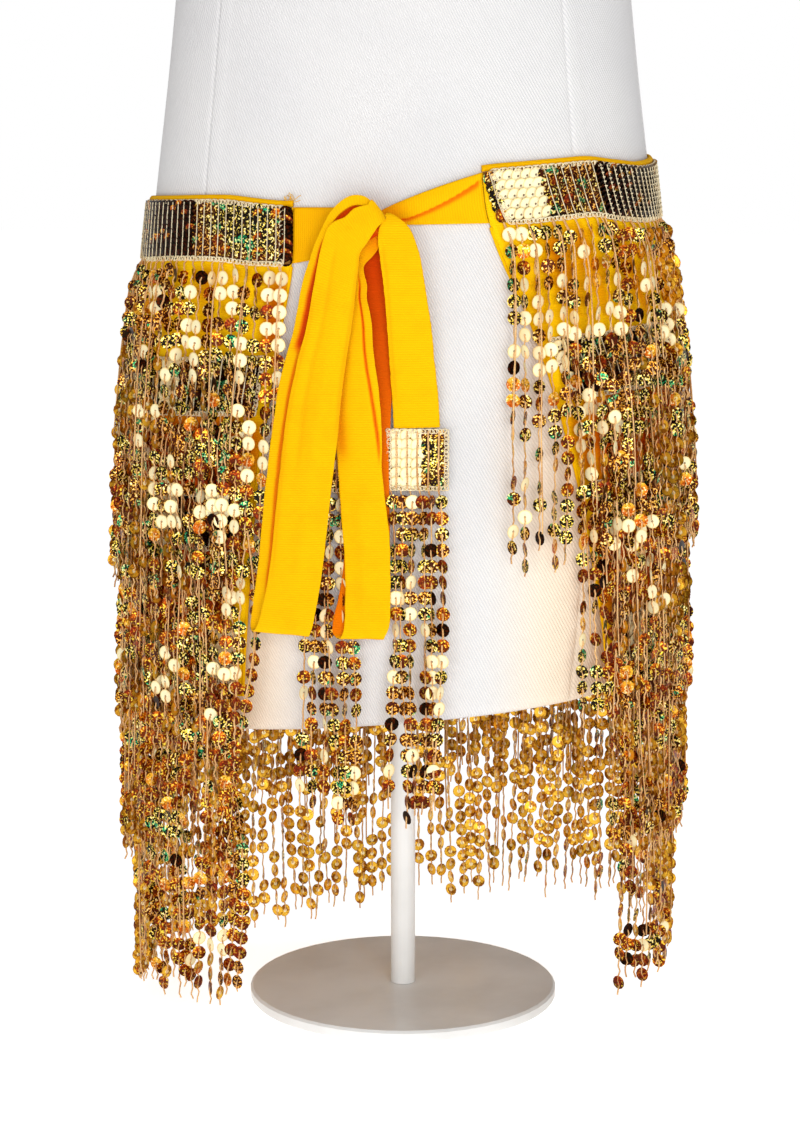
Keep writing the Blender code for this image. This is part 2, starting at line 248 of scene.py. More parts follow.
def threadFinish(name, light, dark):
    made = Finish(name, roughness=0.8, specular_ior_level=0.15, sheen_weight=0.05)
    place = made.place()
    ply = made.noise(place, threadLook["plyScale"], 1.0)
    patches = made.noise(place, 45, 2.0)
    made.paint(base_color=made.mix(light, dark, ply.step(0.3, 0.7) * 0.45 + patches.step(0.4, 0.7) * 0.45))
    made.bump(ply, 0.0002)
    return made.material


# cream and its darker rim paint the reflected light of the pale discs
sequinLook = {
    "cream": colour(255, 243, 196), "creamEdge": colour(240, 204, 116), "gold": colour(242, 180, 46),
    "amber": colour(200, 92, 3), "rust": colour(150, 44, 2), "brown": colour(76, 24, 2),
    "black": colour(20, 12, 6), "spark": colour(252, 214, 70), "sparkWarm": colour(238, 146, 22),
    "sparkPale": colour(255, 244, 180), "green": colour(24, 170, 110),
    "inside": colour(255, 200, 60), "insideDeep": colour(162, 96, 18), "blotchScale": 740, "hole": 0.16,
    "innerHole": 0.30,
}


# One finish for every disc: its own tone picks pale, gold, amber, brown or speckled foil. The pale tone is
# painted reflected light, and lighter streaks in a disc are painted glints
def sequinFinish():
    look = sequinLook
    made = Finish("goldSequins", specular_ior_level=0.22)
    place = made.place()
    disc = made.attribute("discPlace", "Vector")
    tone = made.attribute("tone")
    parts = made.split(disc)
    sideways, upright = parts, parts.output("Y")
    squared = sideways * sideways + upright * upright
    fromHole = squared.maths("SQRT", squared)
    blotch = made.noise(place, look["blotchScale"], 1.2, 0.6)
    patch = made.noise(place, 110, 1.0)
    warmth = made.noise(place, 42, 1.0)
    glint = made.noise(place, 210, 1.0)
    spark = made.mix(look["spark"], look["sparkWarm"], warmth.step(0.46, 0.62) * 0.8)
    ground = made.mix(look["black"], look["brown"], warmth.step(0.42, 0.58) * 0.8)
    sparse = (1 - tone.step(0.44, 0.46)) * 0.02
    speckled = made.mix(ground, spark, (blotch - sparse).step(0.53, 0.56))
    brightest = blotch.step(0.60, 0.65) * (1 - warmth.step(0.5, 0.66) * 0.7)
    speckled = made.mix(speckled, look["sparkPale"], brightest)
    leafy = patch.step(0.635, 0.66) * blotch.step(0.46, 0.52) * (1 - blotch.step(0.58, 0.62))
    speckled = made.mix(speckled, look["green"], leafy)
    darkFoil = made.mix(look["black"], look["brown"], blotch.step(0.5, 0.6) * 0.7)
    # Painted glint: a lighter streak across each disc, from its height on the disc and a noise
    paintedGlint = (upright * 0.3 + 0.5 + (glint - 0.5) * 2.4).step(0.1, 0.9)
    warm = made.mix(look["brown"], made.mix(look["amber"], look["rust"], warmth.step(0.5, 0.6)), paintedGlint)
    warm = made.mix(warm, look["spark"], blotch.step(0.58, 0.61) * (1 - warmth.step(0.5, 0.62) * 0.7))
    warm = made.mix(warm, look["brown"], (1 - blotch.step(0.44, 0.48)) * 0.85)
    golden = made.mix(look["amber"], look["gold"], paintedGlint)
    golden = made.mix(golden, look["sparkPale"], blotch.step(0.60, 0.64) * 0.8)
    golden = made.mix(golden, look["brown"], (1 - blotch.step(0.38, 0.42)) * 0.7)
    # The pale tone is painted reflected light, brighter at the middle and darker to the rim
    pale = made.mix(look["cream"], look["creamEdge"], fromHole.step(0.72, 1.0) * 0.8)
    base = made.mix(darkFoil, warm, tone.step(0.045, 0.055))
    base = made.mix(base, speckled, tone.step(0.345, 0.355))
    base = made.mix(base, golden, tone.step(0.745, 0.755))
    base = made.mix(base, pale, tone.step(0.875, 0.885))
    pierced = 1 - fromHole.step(look["hole"] - 0.03, look["hole"] + 0.03)
    base = made.mix(base, look["brown"], pierced * 0.85)
    inner = made.mix(look["insideDeep"], look["inside"], (glint * 0.6 + blotch * 0.4).step(0.42, 0.53))
    inner = made.mix(inner, look["insideDeep"], fromHole.step(0.78, 1.0) * 0.7)
    innerHole = 1 - fromHole.step(look["innerHole"] - 0.05, look["innerHole"] + 0.03)
    inner = made.mix(inner, look["cream"], innerHole)
    isInner = parts.output("Z") < -0.02
    dark = 1 - tone.step(0.045, 0.055)
    made.paint(
        base_color=made.mix(base, inner, isInner),
        roughness=0.26 + tone.step(0.86, 0.9) * 0.16 + blotch * 0.15,
        metallic=0.68 - tone.step(0.87, 0.9) * 0.48 - pierced * 0.5 + dark * 0.3,
    )
    made.bump(blotch, 0.00012)
    return made.material


def standFinish():
    made = Finish("satinWhitePaint", roughness=0.38, coat_weight=0.2, coat_roughness=0.3)
    place = made.place()
    peel = made.noise(place, 700, 2.0)
    dust = made.noise(place, 14, 4.0)
    made.paint(
        base_color=made.mix(colour(236, 236, 234), colour(218, 217, 214), dust.step(0.35, 0.75)),
        roughness=0.3 + dust * 0.18,
    )
    made.bump(peel, 0.00004)
    return made.material


floorGlow = 0.70


def floorFinish():
    made = Finish("paleFloor", roughness=0.9, specular_ior_level=0.1)
    cloudy = made.noise(made.place(), 1.5, 3.0)
    made.paint(base_color=made.mix(colour(252, 252, 252), colour(248, 248, 248), cloudy))
    made.paint(emission_color=(1, 1, 1, 1), emission_strength=floorGlow)
    return made.material


finishes = {
    "canvas": canvasFinish(),
    "cloth": yellowFinish(),
    "thread": threadFinish("beigeThread", threadLook["light"], threadLook["dark"]),
    "stitch": threadFinish("creamChainStitch", colour(253, 240, 204), colour(224, 196, 146)),
    "tape": threadFinish("goldTape", colour(150, 104, 40), colour(52, 28, 12)),
    "sequins": sequinFinish(),
    "stand": standFinish(),
    "floor": floorFinish(),
}
print("finishes made")


# Lines shared with the CAD model: sections of the form, and the scarf's wrap round it
def table(columns, *rows):
    names = columns.split()
    return [dict(zip(names, row)) for row in rows]


formShape = {
    "power": 2.25, "hip": 0.325, "bottom": 0.2045, "bottomSlope": 0.10, "top": 0.690, "edge": 0.008,
    "domeRise": 0.016,
}
formSections = table(
    "height halfWidth halfDepth",
    (0.205, 0.1520, 0.1120),
    (0.255, 0.1590, 0.1165),
    (0.325, 0.1665, 0.1195),
    (0.400, 0.1650, 0.1185),
    (0.470, 0.1600, 0.1160),
    (0.535, 0.1525, 0.1120),
    (0.600, 0.1445, 0.1065),
    (0.690, 0.1350, 0.0990),
)
seamGap = 0.0003
clothOffset = 0.0013
clothWall = 0.0012
bandWall = 0.0016
bandOffset = clothOffset + clothWall + 0.0006
topEdge = 0.528
wrapLines = table(
    "drop left right slope twist",
    (0.000, -25.0, 29.0, 0.085, 0.00),
    (0.036, -25.0, 31.0, 0.085, 0.00),
    (0.095, -29.0, 42.0, 0.080, 0.10),
    (0.180, -34.0, 51.5, 0.075, 0.35),
    (0.264, -37.0, 58.0, 0.085, 0.65),
    (0.306, -38.0, 60.0, 0.085, 0.70),
)


# How far the first band lies above that line, at its top and its lower edge, round the form
bandLift = table(
    "angle top bottom",
    (-180, 0.0000, 0.0000),
    (-110, 0.0000, 0.0000),
    (-75, 0.0020, 0.0013),
    (-57, 0.0015, 0.0019),
    (-44, 0.0000, 0.0000),
    (-37, -0.0027, -0.0028),
    (-31, -0.0050, -0.0042),
    (-25, -0.0062, -0.0052),
    (29, 0.0045, 0.0085),
    (41, 0.0046, 0.0079),
    (50, 0.0043, 0.0079),
    (57, 0.0038, 0.0077),
    (65, 0.0002, 0.0033),
    (76, -0.0030, 0.0000),
    (110, 0.0000, 0.0000),
    (180, 0.0000, 0.0000),
)
liftFade = 0.061
bandHeight = 0.034


# Smooth curve through one column of a table
def reading(rows, key, wanted, at):
    last = len(rows) - 1
    at = min(max(at, rows[0][key]), rows[last][key])
    i = next(n for n in range(last) if at <= rows[n + 1][key])
    start, end = rows[i], rows[i + 1]
    before, after = rows[max(i - 1, 0)], rows[min(i + 2, last)]
    span = end[key] - start[key]
    first = (end[wanted] - before[wanted]) / (end[key] - before[key]) * span
    second = (after[wanted] - start[wanted]) / (after[key] - start[key]) * span
    t = (at - start[key]) / span
    return (
        (2 * t**3 - 3 * t**2 + 1) * start[wanted]
        + (t**3 - 2 * t**2 + t) * first
        + (3 * t**2 - 2 * t**3) * end[wanted]
        + (t**3 - t**2) * second
    )


sectionCache = {}


def sectionAt(height):
    key = round(height, 5)
    if key not in sectionCache:
        sectionCache[key] = [
            reading(formSections, "height", name, key) for name in ("halfWidth", "halfDepth")
        ]
    return sectionCache[key]


def formRadius(angle, height):
    halfWidth, halfDepth = sectionAt(height)
    across = abs(math.sin(math.radians(angle))) / halfWidth
    along = abs(math.cos(math.radians(angle))) / halfDepth
    return (across ** formShape["power"] + along ** formShape["power"]) ** (-1 / formShape["power"])


def onForm(angle, height, offset):
    radius = formRadius(angle, height) + offset
    turn = math.radians(angle)
    return Vector((radius * math.sin(turn), -radius * math.cos(turn), height))


# Cloth lies on the form down to the hips, and hangs plumb below them
def onCloth(angle, height, offset):
    point = onForm(angle, max(height, formShape["hip"]), offset)
    point.z = height
    return point


def beforeForm(x, height, offset):
    halfWidth, halfDepth = sectionAt(max(height, formShape["hip"]))
    power = formShape["power"]
    depth = halfDepth * (1 - abs(x / halfWidth) ** power) ** (1 / power)
    return Vector((x, -depth - offset, height))


def roundLengths():
    lengths = [0.0]
    for angle in range(1, 361):
        step = onForm(angle, formShape["hip"], 0) - onForm(angle - 1, formShape["hip"], 0)
        lengths.append(lengths[-1] + step.length)
    return lengths


hipLengths = roundLengths()


def hipLength(angle):
    whole = math.floor(angle)
    start, end = hipLengths[whole], hipLengths[min(whole + 1, 360)]
    return start + (end - start) * (angle - whole)


def hipAngle(length):
    whole = next(n for n in range(360) if length <= hipLengths[n + 1] or n == 359)
    start, end = hipLengths[whole], hipLengths[whole + 1]
    return whole + (length - start) / (end - start)


# Length of a line of the scarf from its left front edge, round the back, to its right one
def wrapLength(drop, leftInset=0, rightInset=0):
    left = leftInset - reading(wrapLines, "drop", "left", drop)
    right = 360 - rightInset - reading(wrapLines, "drop", "right", drop)
    return hipLength(left), hipLength(right)


def wrapAngle(drop, share, leftInset=0, rightInset=0):
    start, end = wrapLength(drop, leftInset, rightInset)
    return -hipAngle(start + share * (end - start))


# An angle as it is read from the front: from -180 to 180
def facing(angle):
    return (angle + 180) % 360 - 180


def wrapLift(drop, angle):
    top = reading(bandLift, "angle", "top", facing(angle))
    bottom = reading(bandLift, "angle", "bottom", facing(angle))
    fade = 1 - min(max(drop - bandHeight, 0) / liftFade, 1)
    return (top + (bottom - top) * min(drop / bandHeight, 1)) * fade


def wrapHeight(drop, angle):
    point = onForm(angle, formShape["hip"], 0)
    slope = reading(wrapLines, "drop", "slope", drop)
    twist = reading(wrapLines, "drop", "twist", drop)
    return topEdge - drop + point.x * (slope + twist * point.y) + wrapLift(drop, angle)


def smooth(low, high, value):
    share = min(max((value - low) / (high - low), 0), 1)
    return share * share * (3 - 2 * share)


# Pieces
def addPiece(name, mesh, finish, slot, *nodes):
    if finish:
        mesh.materials.clear()
        mesh.materials.append(finishes[finish])
    piece = bpy.data.objects.new(name, mesh)
    bpy.context.scene.collection.objects.link(piece)
    return settle(piece, slot, *nodes)


def settle(piece, slot, *nodes):
    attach(piece, "root")
    if nodes:
        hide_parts(*nodes)
    return piece


# Thin closed wall over a grid of shares, with its weave map in metres and painted shade in its folds: tint
# gives each point's painted shade, and below zero painted light.
# place turns a share across, a share up and a share through the wall into a point.
def wallMesh(name, acrosses, ups, place, size, tint=None):
    wide, tall = len(acrosses), len(ups)
    layer = wide * tall
    grid = [(a, u) for u in ups for a in acrosses]
    points = [place(a, u, t) for t in (0, 1) for a, u in grid]
    faces = []
    for row in range(tall - 1):
        for column in range(wide - 1):
            i = row * wide + column
            faces.append((i, i + wide, i + wide + 1, i + 1))
            faces.append((i + layer, i + layer + 1, i + layer + wide + 1, i + layer + wide))
    rim = list(range(wide - 1))
    rim += [row * wide + wide - 1 for row in range(tall - 1)]
    rim += [(tall - 1) * wide + column for column in range(wide - 1, 0, -1)]
    rim += [row * wide for row in range(tall - 1, 0, -1)]
    for i, j in zip(rim, rim[1:] + rim[:1]):
        faces.append((i, j, j + layer, i + layer))
    mesh = bpy.data.meshes.new(name)
    mesh.from_pydata(points, [], faces)
    weave = mesh.uv_layers.new(name="weave")
    for loop in mesh.loops:
        a, u = grid[loop.vertex_index % layer]
        weave.data[loop.index].uv = (a * size[0], u * size[1])
    paintedShade = mesh.attributes.new("paintedShade", "FLOAT", "POINT")
    for i in range(2 * layer):
        paintedShade.data[i].value = tint(*grid[i % layer]) if tint else 0.0
    outwards(mesh)
    mesh.shade_smooth()
    return mesh


def outwards(mesh):
    made = bmesh.new()
    made.from_mesh(mesh)
    if made.calc_volume(signed=True) < 0:
        bmesh.ops.reverse_faces(made, faces=made.faces)
    made.to_mesh(mesh)
    made.free()


def shares(count):
    return [i / count for i in range(count + 1)]


# Dress form: seams as grooves with a soft welt on one side, a turned hem at the bottom
formLook = {
    "seams": (-52.0, 54.0, -90.0, 90.0, -127.0, 127.0, 180.0), "seamDepth": 0.0007, "seamHalf": 0.45,
    "welt": 0.00035, "weltWidth": 3.2, "hem": 0.014, "hemRelief": 0.0006, "rings": 84, "step": 3.0,
}


def seamRelief(angle):
    relief = 0.0
    for seam in formLook["seams"]:
        away = (angle - seam + 180) % 360 - 180
        relief -= formLook["seamDepth"] * math.exp(-((away / formLook["seamHalf"]) ** 2))
        inside = smooth(0, 0.8, away) * (1 - smooth(formLook["weltWidth"], formLook["weltWidth"] + 1.0, away))
        relief += formLook["welt"] * inside
    return relief


def formAngles():
    angles = {round(-180 + formLook["step"] * i, 3) for i in range(int(360 / formLook["step"]))}
    for seam in formLook["seams"]:
        for away in (-1.2, -0.7, -0.35, 0, 0.35, 0.7, 1.2, 2.2, 3.4, 4.2):
            angles.add(round((seam + away + 180) % 360 - 180, 3))
    return sorted(angles)


def addForm():
    angles = formAngles()
    wide = len(angles)
    shape, look = formShape, formLook
    lines = []
    for inset, height in ((0.34, 0.0), (0.68, 0.0), (0.90, 0.0), (0.965, 0.0006)):
        lines.append(("floor", inset, height))
    for ring in range(look["rings"] + 1):
        lines.append(("wall", ring / look["rings"], 0))
    domeStart = len(lines) * wide
    for turn in (12, 26, 40, 52, 64, 76, 84, 88):
        lines.append(("dome", turn, 0))
    points, weave = [], []
    for kind, value, lift in lines:
        for angle in angles:
            share = value if kind == "wall" else (0 if kind == "floor" else 1)
            bevel = shape["edge"] * 0.4
            height = shape["bottom"] + bevel + share * (shape["top"] - shape["bottom"] - bevel)
            aboveRim = height - shape["bottom"]
            hem = look["hemRelief"] * (1 - smooth(look["hem"] - 0.001, look["hem"] + 0.001, aboveRim))
            point = onForm(angle, height, seamRelief(angle) * (1 if kind == "wall" else 0) + hem)
            if kind == "floor":
                point = onForm(angle, height, -0.0006) * value
                point.z = shape["bottom"] + lift
            elif kind == "dome":
                size = math.cos(math.radians(value))
                rise = shape["domeRise"] * math.sin(math.radians(value))
                point = Vector((point.x * size, point.y * size, shape["top"] + rise))
            slopeShare = max(0, 1 - (height - shape["bottom"]) / (shape["hip"] - shape["bottom"]))
            point.z += shape["bottomSlope"] * point.x * slopeShare**0.5
            points.append(point)
            weaveUp = point.z if kind != "dome" else shape["top"] + value / 900
            weave.append((math.radians(angle) * 0.15, weaveUp))
    bottomPole, topPole = len(points), len(points) + 1
    points += [Vector((0, 0, shape["bottom"])), Vector((0, 0, shape["top"] + shape["domeRise"]))]
    weave += [(0, 0), (0, shape["top"] + 0.1)]
    faces = []
    for row in range(len(lines) - 1):
        for column in range(wide):
            i, j = row * wide + column, row * wide + (column + 1) % wide
            faces.append((i, j, j + wide, i + wide))
    last = (len(lines) - 1) * wide
    for column in range(wide):
        j = (column + 1) % wide
        faces.append((bottomPole, j, column))
        faces.append((topPole, last + column, last + j))
    mesh = bpy.data.meshes.new("dress_form")
    mesh.from_pydata(points, [], faces)
    layer = mesh.uv_layers.new(name="weave")
    for polygon in mesh.polygons:
        corners = [weave[mesh.loops[i].vertex_index] for i in polygon.loop_indices]
        if min(polygon.vertices) >= domeStart and bottomPole not in polygon.vertices:
            corners = [(points[i].x, points[i].y) for i in polygon.vertices]
        wraps = max(c[0] for c in corners) - min(c[0] for c in corners) > 0.4
        for i, corner in zip(polygon.loop_indices, corners):
            u = corner[0] + (2 * math.pi * 0.15 if wraps and corner[0] < 0 else 0)
            layer.data[i].uv = (u, corner[1])
    outwards(mesh)
    mesh.shade_smooth()
    return addPiece("dress_form", mesh, "canvas", "canvas", "form_body")


form = addForm()
for nodeName in ("stand_pole", "stand_base"):
    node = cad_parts[nodeName]
    for slotNumber in range(len(node.material_slots)):
        node.material_slots[slotNumber].material = finishes["stand"]
print("form and stand made")


# Hip cloth under the fringe, with soft folds between its bands
clothShape = {"drop": 0.306, "columns": 220, "rows": 60, "foldDepth": 0.0022, "hemSize": 0.0011}
fringeRows = table(
    "name number drop inset slant out strands",
    ("fringe_row_1", 1, 0.000, 0.0, 2.5, 0.0150, 104),
    ("fringe_row_2", 2, 0.095, 2.5, 0.5, 0.0125, 106),
    ("fringe_row_3", 3, 0.180, 2.5, 0.5, 0.0100, 108),
    ("fringe_row_4", 4, 0.264, 2.0, 0.5, 0.0008, 112),
)
strandLength = 0.195
outPower = 0.6
frontOut = 0.62
frontSpread = 0.14


def betweenBands(drop):
    free = 1.0
    for row in fringeRows:
        if row["drop"] <= drop <= row["drop"] + bandHeight:
            return 0.0
        away = min(abs(drop - row["drop"]), abs(drop - row["drop"] - bandHeight))
        free = min(free, smooth(0.0, 0.016, away))
    return free


def clothFold(across, drop):
    broad = noise.noise(Vector((across * 34, drop * 6, 1.7)))
    fine = noise.noise(Vector((across * 80, drop * 9, 5.1)))
    return (broad + 0.5 * fine) * betweenBands(drop)


def addHipCloth():
    def place(across, up, through):
        drop = clothShape["drop"] * (1 - up)
        angle = wrapAngle(drop, across)
        swell = clothShape["foldDepth"] * (0.25 * betweenBands(drop) + max(clothFold(across, drop), -0.35))
        return onCloth(angle, wrapHeight(drop, angle), clothOffset + swell + clothWall * through)

    # Painted shade in the deep folds, painted light on the rest of the cloth, and painted amber reflection
    # and shade between the lower strands
    def tint(across, up):
        drop = clothShape["drop"] * (1 - up)
        inside = smooth(0.0, 0.035, min(across, 1 - across)) * smooth(0.105, 0.150, drop)
        folds = min(max(-clothFold(across, drop) * 0.9, 0), 0.55)
        return (folds if folds > 0.05 else -0.4) * (1 - inside) + 0.85 * inside

    start, end = wrapLength(0.15)
    size = (end - start, clothShape["drop"])
    acrosses = shares(clothShape["columns"])
    mesh = wallMesh("hip_cloth", acrosses, shares(clothShape["rows"]), place, size, tint)
    return addPiece("hip_cloth", mesh, "cloth", "yellow_cloth", "base_panel"), size


hipCloth, hipClothSize = addHipCloth()


# Geometry nodes: discs on points, tubes along lines, links on points
def startTree(name, *sockets):
    tree = bpy.data.node_groups.new(name, "GeometryNodeTree")
    tree.interface.new_socket("Geometry", in_out="INPUT", socket_type="NodeSocketGeometry")
    for label, kind, value in sockets:
        made = tree.interface.new_socket(label, in_out="INPUT", socket_type="NodeSocket" + kind)
        if value is not None:
            made.default_value = value
    tree.interface.new_socket("Geometry", in_out="OUTPUT", socket_type="NodeSocketGeometry")
    graph = Graph(tree)
    given = graph.add("NodeGroupInput")
    return graph, given


def endTree(graph, geometry, given, smoothed):
    real = graph.add("GeometryNodeRealizeInstances", {}, {"Geometry": geometry})
    shaded = graph.add("GeometryNodeSetShadeSmooth", {}, {"Geometry": real, "Shade Smooth": smoothed})
    values = {"Geometry": shaded, "Material": given.output("Material")}
    done = graph.add("GeometryNodeSetMaterial", {}, values)
    graph.add("NodeGroupOutput", {}, {"Geometry": done})
    return graph.tree


def randomVector(graph, spread, seed):
    low = graph.add("ShaderNodeCombineXYZ", {}, {"X": 0 - spread, "Y": 0 - spread, "Z": 0 - spread})
    high = graph.add("ShaderNodeCombineXYZ", {}, {"X": spread, "Y": spread, "Z": spread})
    values = {"Min": low, "Max": high, "Seed": seed}
    return graph.add("FunctionNodeRandomValue", {"data_type": "FLOAT_VECTOR"}, values)


# Each point's own turn, with a little chance in it
def looseTurn(graph, given):
    loose = randomVector(graph, given.output("Loose turn"), given.output("Seed"))
    named = graph.add("GeometryNodeInputNamedAttribute", {"data_type": "FLOAT_VECTOR"}, {"Name": "turn"})
    own = graph.add("FunctionNodeEulerToRotation", {}, {"Euler": named})
    extra = graph.add("FunctionNodeEulerToRotation", {}, {"Euler": loose})
    values = {"Rotation": own, "Rotate By": extra}
    return graph.add("FunctionNodeRotateRotation", {"rotation_space": "LOCAL"}, values)


# Sequins: a flat disc that thins to its rim, one on each point, turned as the point says
def sequinTree():
    graph, given = startTree(
        "sequinsOnPoints",
        ("Diameter", "Float", 0.0088),
        ("Thickness", "Float", 0.0005),
        ("Sides", "Int", 12),
        ("Loose turn", "Float", 0.1),
        ("Seed", "Int", 7),
        ("Material", "Material", None),
    )
    ball = graph.add(
        "GeometryNodeMeshUVSphere", {}, {"Segments": given.output("Sides"), "Rings": 2, "Radius": 0.5}
    )
    where = graph.add("GeometryNodeInputPosition")
    unit = graph.add("ShaderNodeVectorMath", {"operation": "SCALE"}, {"Vector": where, "Scale": 2.0})
    marked = graph.add(
        "GeometryNodeStoreNamedAttribute",
        {"data_type": "FLOAT_VECTOR", "domain": "POINT"},
        {"Geometry": ball, "Name": "discPlace", "Value": unit},
    )
    size = graph.add(
        "ShaderNodeCombineXYZ",
        {},
        {"X": given.output("Diameter"), "Y": given.output("Diameter"), "Z": given.output("Thickness")},
    )
    disc = graph.add("GeometryNodeTransform", {}, {"Geometry": marked, "Scale": size})
    turned = looseTurn(graph, given)
    placed = graph.add(
        "GeometryNodeInstanceOnPoints",
        {},
        {"Points": given, "Instance": disc, "Rotation": turned},
    )
    return endTree(graph, placed, given, False)


# Threads: a thin tube along each line, with a slight waver
def threadTree():
    graph, given = startTree(
        "threadsOnLines",
        ("Thickness", "Float", 0.0007),
        ("Sides", "Int", 3),
        ("Waver", "Float", 0.0003),
        ("Seed", "Int", 3),
        ("Material", "Material", None),
    )
    loose = randomVector(graph, given.output("Waver"), given.output("Seed"))
    moved = graph.add("GeometryNodeSetPosition", {}, {"Geometry": given, "Offset": loose})
    lines = graph.add("GeometryNodeMeshToCurve", {}, {"Mesh": moved})
    ring = graph.add(
        "GeometryNodeCurvePrimitiveCircle",
        {},
        {"Resolution": given.output("Sides"), "Radius": given.output("Thickness") * 0.5},
    )
    values = {"Curve": lines, "Profile Curve": ring, "Fill Caps": True}
    tube = graph.add("GeometryNodeCurveToMesh", {}, values)
    return endTree(graph, tube, given, True)


# Chain stitch: a small flat link on each point, turned along the edge
def stitchTree():
    graph, given = startTree(
        "linksOnPoints",
        ("Link length", "Float", 0.0038),
        ("Link width", "Float", 0.0024),
        ("Thread", "Float", 0.00092),
        ("Loose turn", "Float", 0.18),
        ("Seed", "Int", 11),
        ("Material", "Material", None),
    )
    loop = graph.add("GeometryNodeCurvePrimitiveCircle", {}, {"Resolution": 8, "Radius": 0.5})
    size = graph.add(
        "ShaderNodeCombineXYZ",
        {},
        {"X": given.output("Link length"), "Y": given.output("Link width"), "Z": 1.0},
    )
    oval = graph.add("GeometryNodeTransform", {}, {"Geometry": loop, "Scale": size})
    yarn = graph.add(
        "GeometryNodeCurvePrimitiveCircle", {}, {"Resolution": 3, "Radius": given.output("Thread") * 0.5}
    )
    link = graph.add("GeometryNodeCurveToMesh", {}, {"Curve": oval, "Profile Curve": yarn})
    turned = looseTurn(graph, given)
    values = {"Points": given, "Instance": link, "Rotation": turned}
    placed = graph.add("GeometryNodeInstanceOnPoints", {}, values)
    return endTree(graph, placed, given, True)


trees = {"sequins": sequinTree(), "threads": threadTree(), "stitches": stitchTree()}


# Runs a tree over a guide mesh and keeps the result as the piece's own plain mesh
def grow(name, guide, tree, finish, **inputs):
    piece = bpy.data.objects.new(name, guide)
    bpy.context.scene.collection.objects.link(piece)
    modifier = piece.modifiers.new("grow", "NODES")
    modifier.node_group = trees[tree]
    inputs["Material"] = finishes[finish]
    for item in trees[tree].interface.items_tree:
        if item.in_out == "INPUT" and item.name in inputs:
            modifier[item.identifier] = inputs[item.name]
    depsgraph = bpy.context.evaluated_depsgraph_get()
    mesh = bpy.data.meshes.new_from_object(
        piece.evaluated_get(depsgraph), preserve_all_data_layers=True, depsgraph=depsgraph
    )
    piece.modifiers.remove(modifier)
    piece.data = mesh
    mesh.name = name
    mesh.materials.clear()
    mesh.materials.append(finishes[finish])
    return piece


class PointGuide:
    def __init__(self):
        self.points, self.turns, self.tones = [], [], []

    # across, up and outward are the piece's own axes at the point
    def put(self, point, across, up, outward, twist=0.0, tilt=0.0, tone=0.0):
        axes = Matrix((across, up, outward)).transposed()
        turn = axes @ Matrix.Rotation(twist, 3, "Y") @ Matrix.Rotation(tilt, 3, "X")
        self.points.append(point)
        self.turns.append(turn.to_euler())
        self.tones.append(tone)

    def mesh(self, name):
        made = bpy.data.meshes.new(name)
        made.from_pydata(self.points, [], [])
        turns = [value for turn in self.turns for value in turn]
        made.attributes.new("turn", "FLOAT_VECTOR", "POINT").data.foreach_set("vector", turns)
        made.attributes.new("tone", "FLOAT", "POINT").data.foreach_set("value", self.tones)
        return made


class LineGuide:
    def __init__(self):
        self.points, self.edges = [], []

    def draw(self, points):
        first = len(self.points)
        self.points += points
        self.edges += [(first + i, first + i + 1) for i in range(len(points) - 1)]

    def mesh(self, name):
        made = bpy.data.meshes.new(name)
        made.from_pydata(self.points, self.edges, [])
        return made


# Fringe: a band of sequins, chain stitch round it, and strands of sequins below it
fringeLook = {
    "disc": 0.0088, "pitch": 0.0096, "firstDisc": 0.0080, "gapShare": 0.05, "bandColumn": 0.0058,
    "bandRows": 5,
    "shingle": 0.12, "clump": 0.0080, "wander": 0.0042, "thread": 0.0012, "bandThread": 0.0008, "seed": 21,
    "uneven": 0.008, "stitchPitch": 0.0025, "overThread": 0.45, "bowAngle": -42, "bowHeight": 0.46,
    "freeBelow": 0.225, "frontDrift": 0.007, "closeness": 0.8, "dashRows": 11, "dash": 0.0018,
}
# Places where painted reflected light gathers as pale discs: angle, height, half width and half height in
# metres, strength
paintedGlareSpots = (
    (-27, 0.457, 0.007, 0.036, 0.95), (-49, 0.450, 0.006, 0.040, 0.85), (-41, 0.473, 0.009, 0.016, 0.85),
    (-63, 0.466, 0.006, 0.012, 0.70), (-51, 0.424, 0.012, 0.012, 0.65), (-65, 0.382, 0.012, 0.014, 0.60),
    (-55, 0.339, 0.010, 0.022, 0.60), (-40, 0.337, 0.012, 0.014, 0.60), (-32, 0.377, 0.012, 0.016, 0.60),
    (-38, 0.285, 0.008, 0.010, 0.70), (-55, 0.229, 0.010, 0.014, 0.70), (-40, 0.236, 0.006, 0.008, 0.70),
    (-62, 0.174, 0.008, 0.008, 0.50), (-47, 0.055, 0.012, 0.016, 0.60), (40, 0.436, 0.016, 0.020, 0.80),
    (54, 0.451, 0.018, 0.013, 0.80), (40, 0.472, 0.006, 0.020, 0.80), (35, 0.499, 0.008, 0.008, 0.60),
    (70, 0.475, 0.012, 0.016, 0.60), (54, 0.386, 0.010, 0.024, 0.55), (62, 0.314, 0.014, 0.020, 0.55),
    (72, 0.282, 0.012, 0.018, 0.55), (32, 0.326, 0.006, 0.010, 0.80), (49, 0.259, 0.008, 0.010, 0.60),
    (76, 0.444, 0.010, 0.014, 0.55), (36, 0.370, 0.010, 0.016, 0.50), (120, 0.420, 0.030, 0.020, 0.40),
    (165, 0.380, 0.030, 0.025, 0.40), (-130, 0.400, 0.030, 0.020, 0.40), (-165, 0.300, 0.030, 0.025, 0.35),
)


# The wall's axes at an angle: across the cloth, up, and outwards
def wallAxes(angle, height):
    across = (onCloth(angle + 0.5, height, 0) - onCloth(angle - 0.5, height, 0)).normalized()
    up = Vector((0, 0, 1))
    return across, up, across.cross(up).normalized()


def strandOut(row, across, fall):
    share = min(min(across, 1 - across) / frontSpread, 1)
    front = frontOut + (1 - frontOut) * share**2
    return row["out"] * front * fringeLook["closeness"] * (max(fall, 0) / strandLength) ** outPower


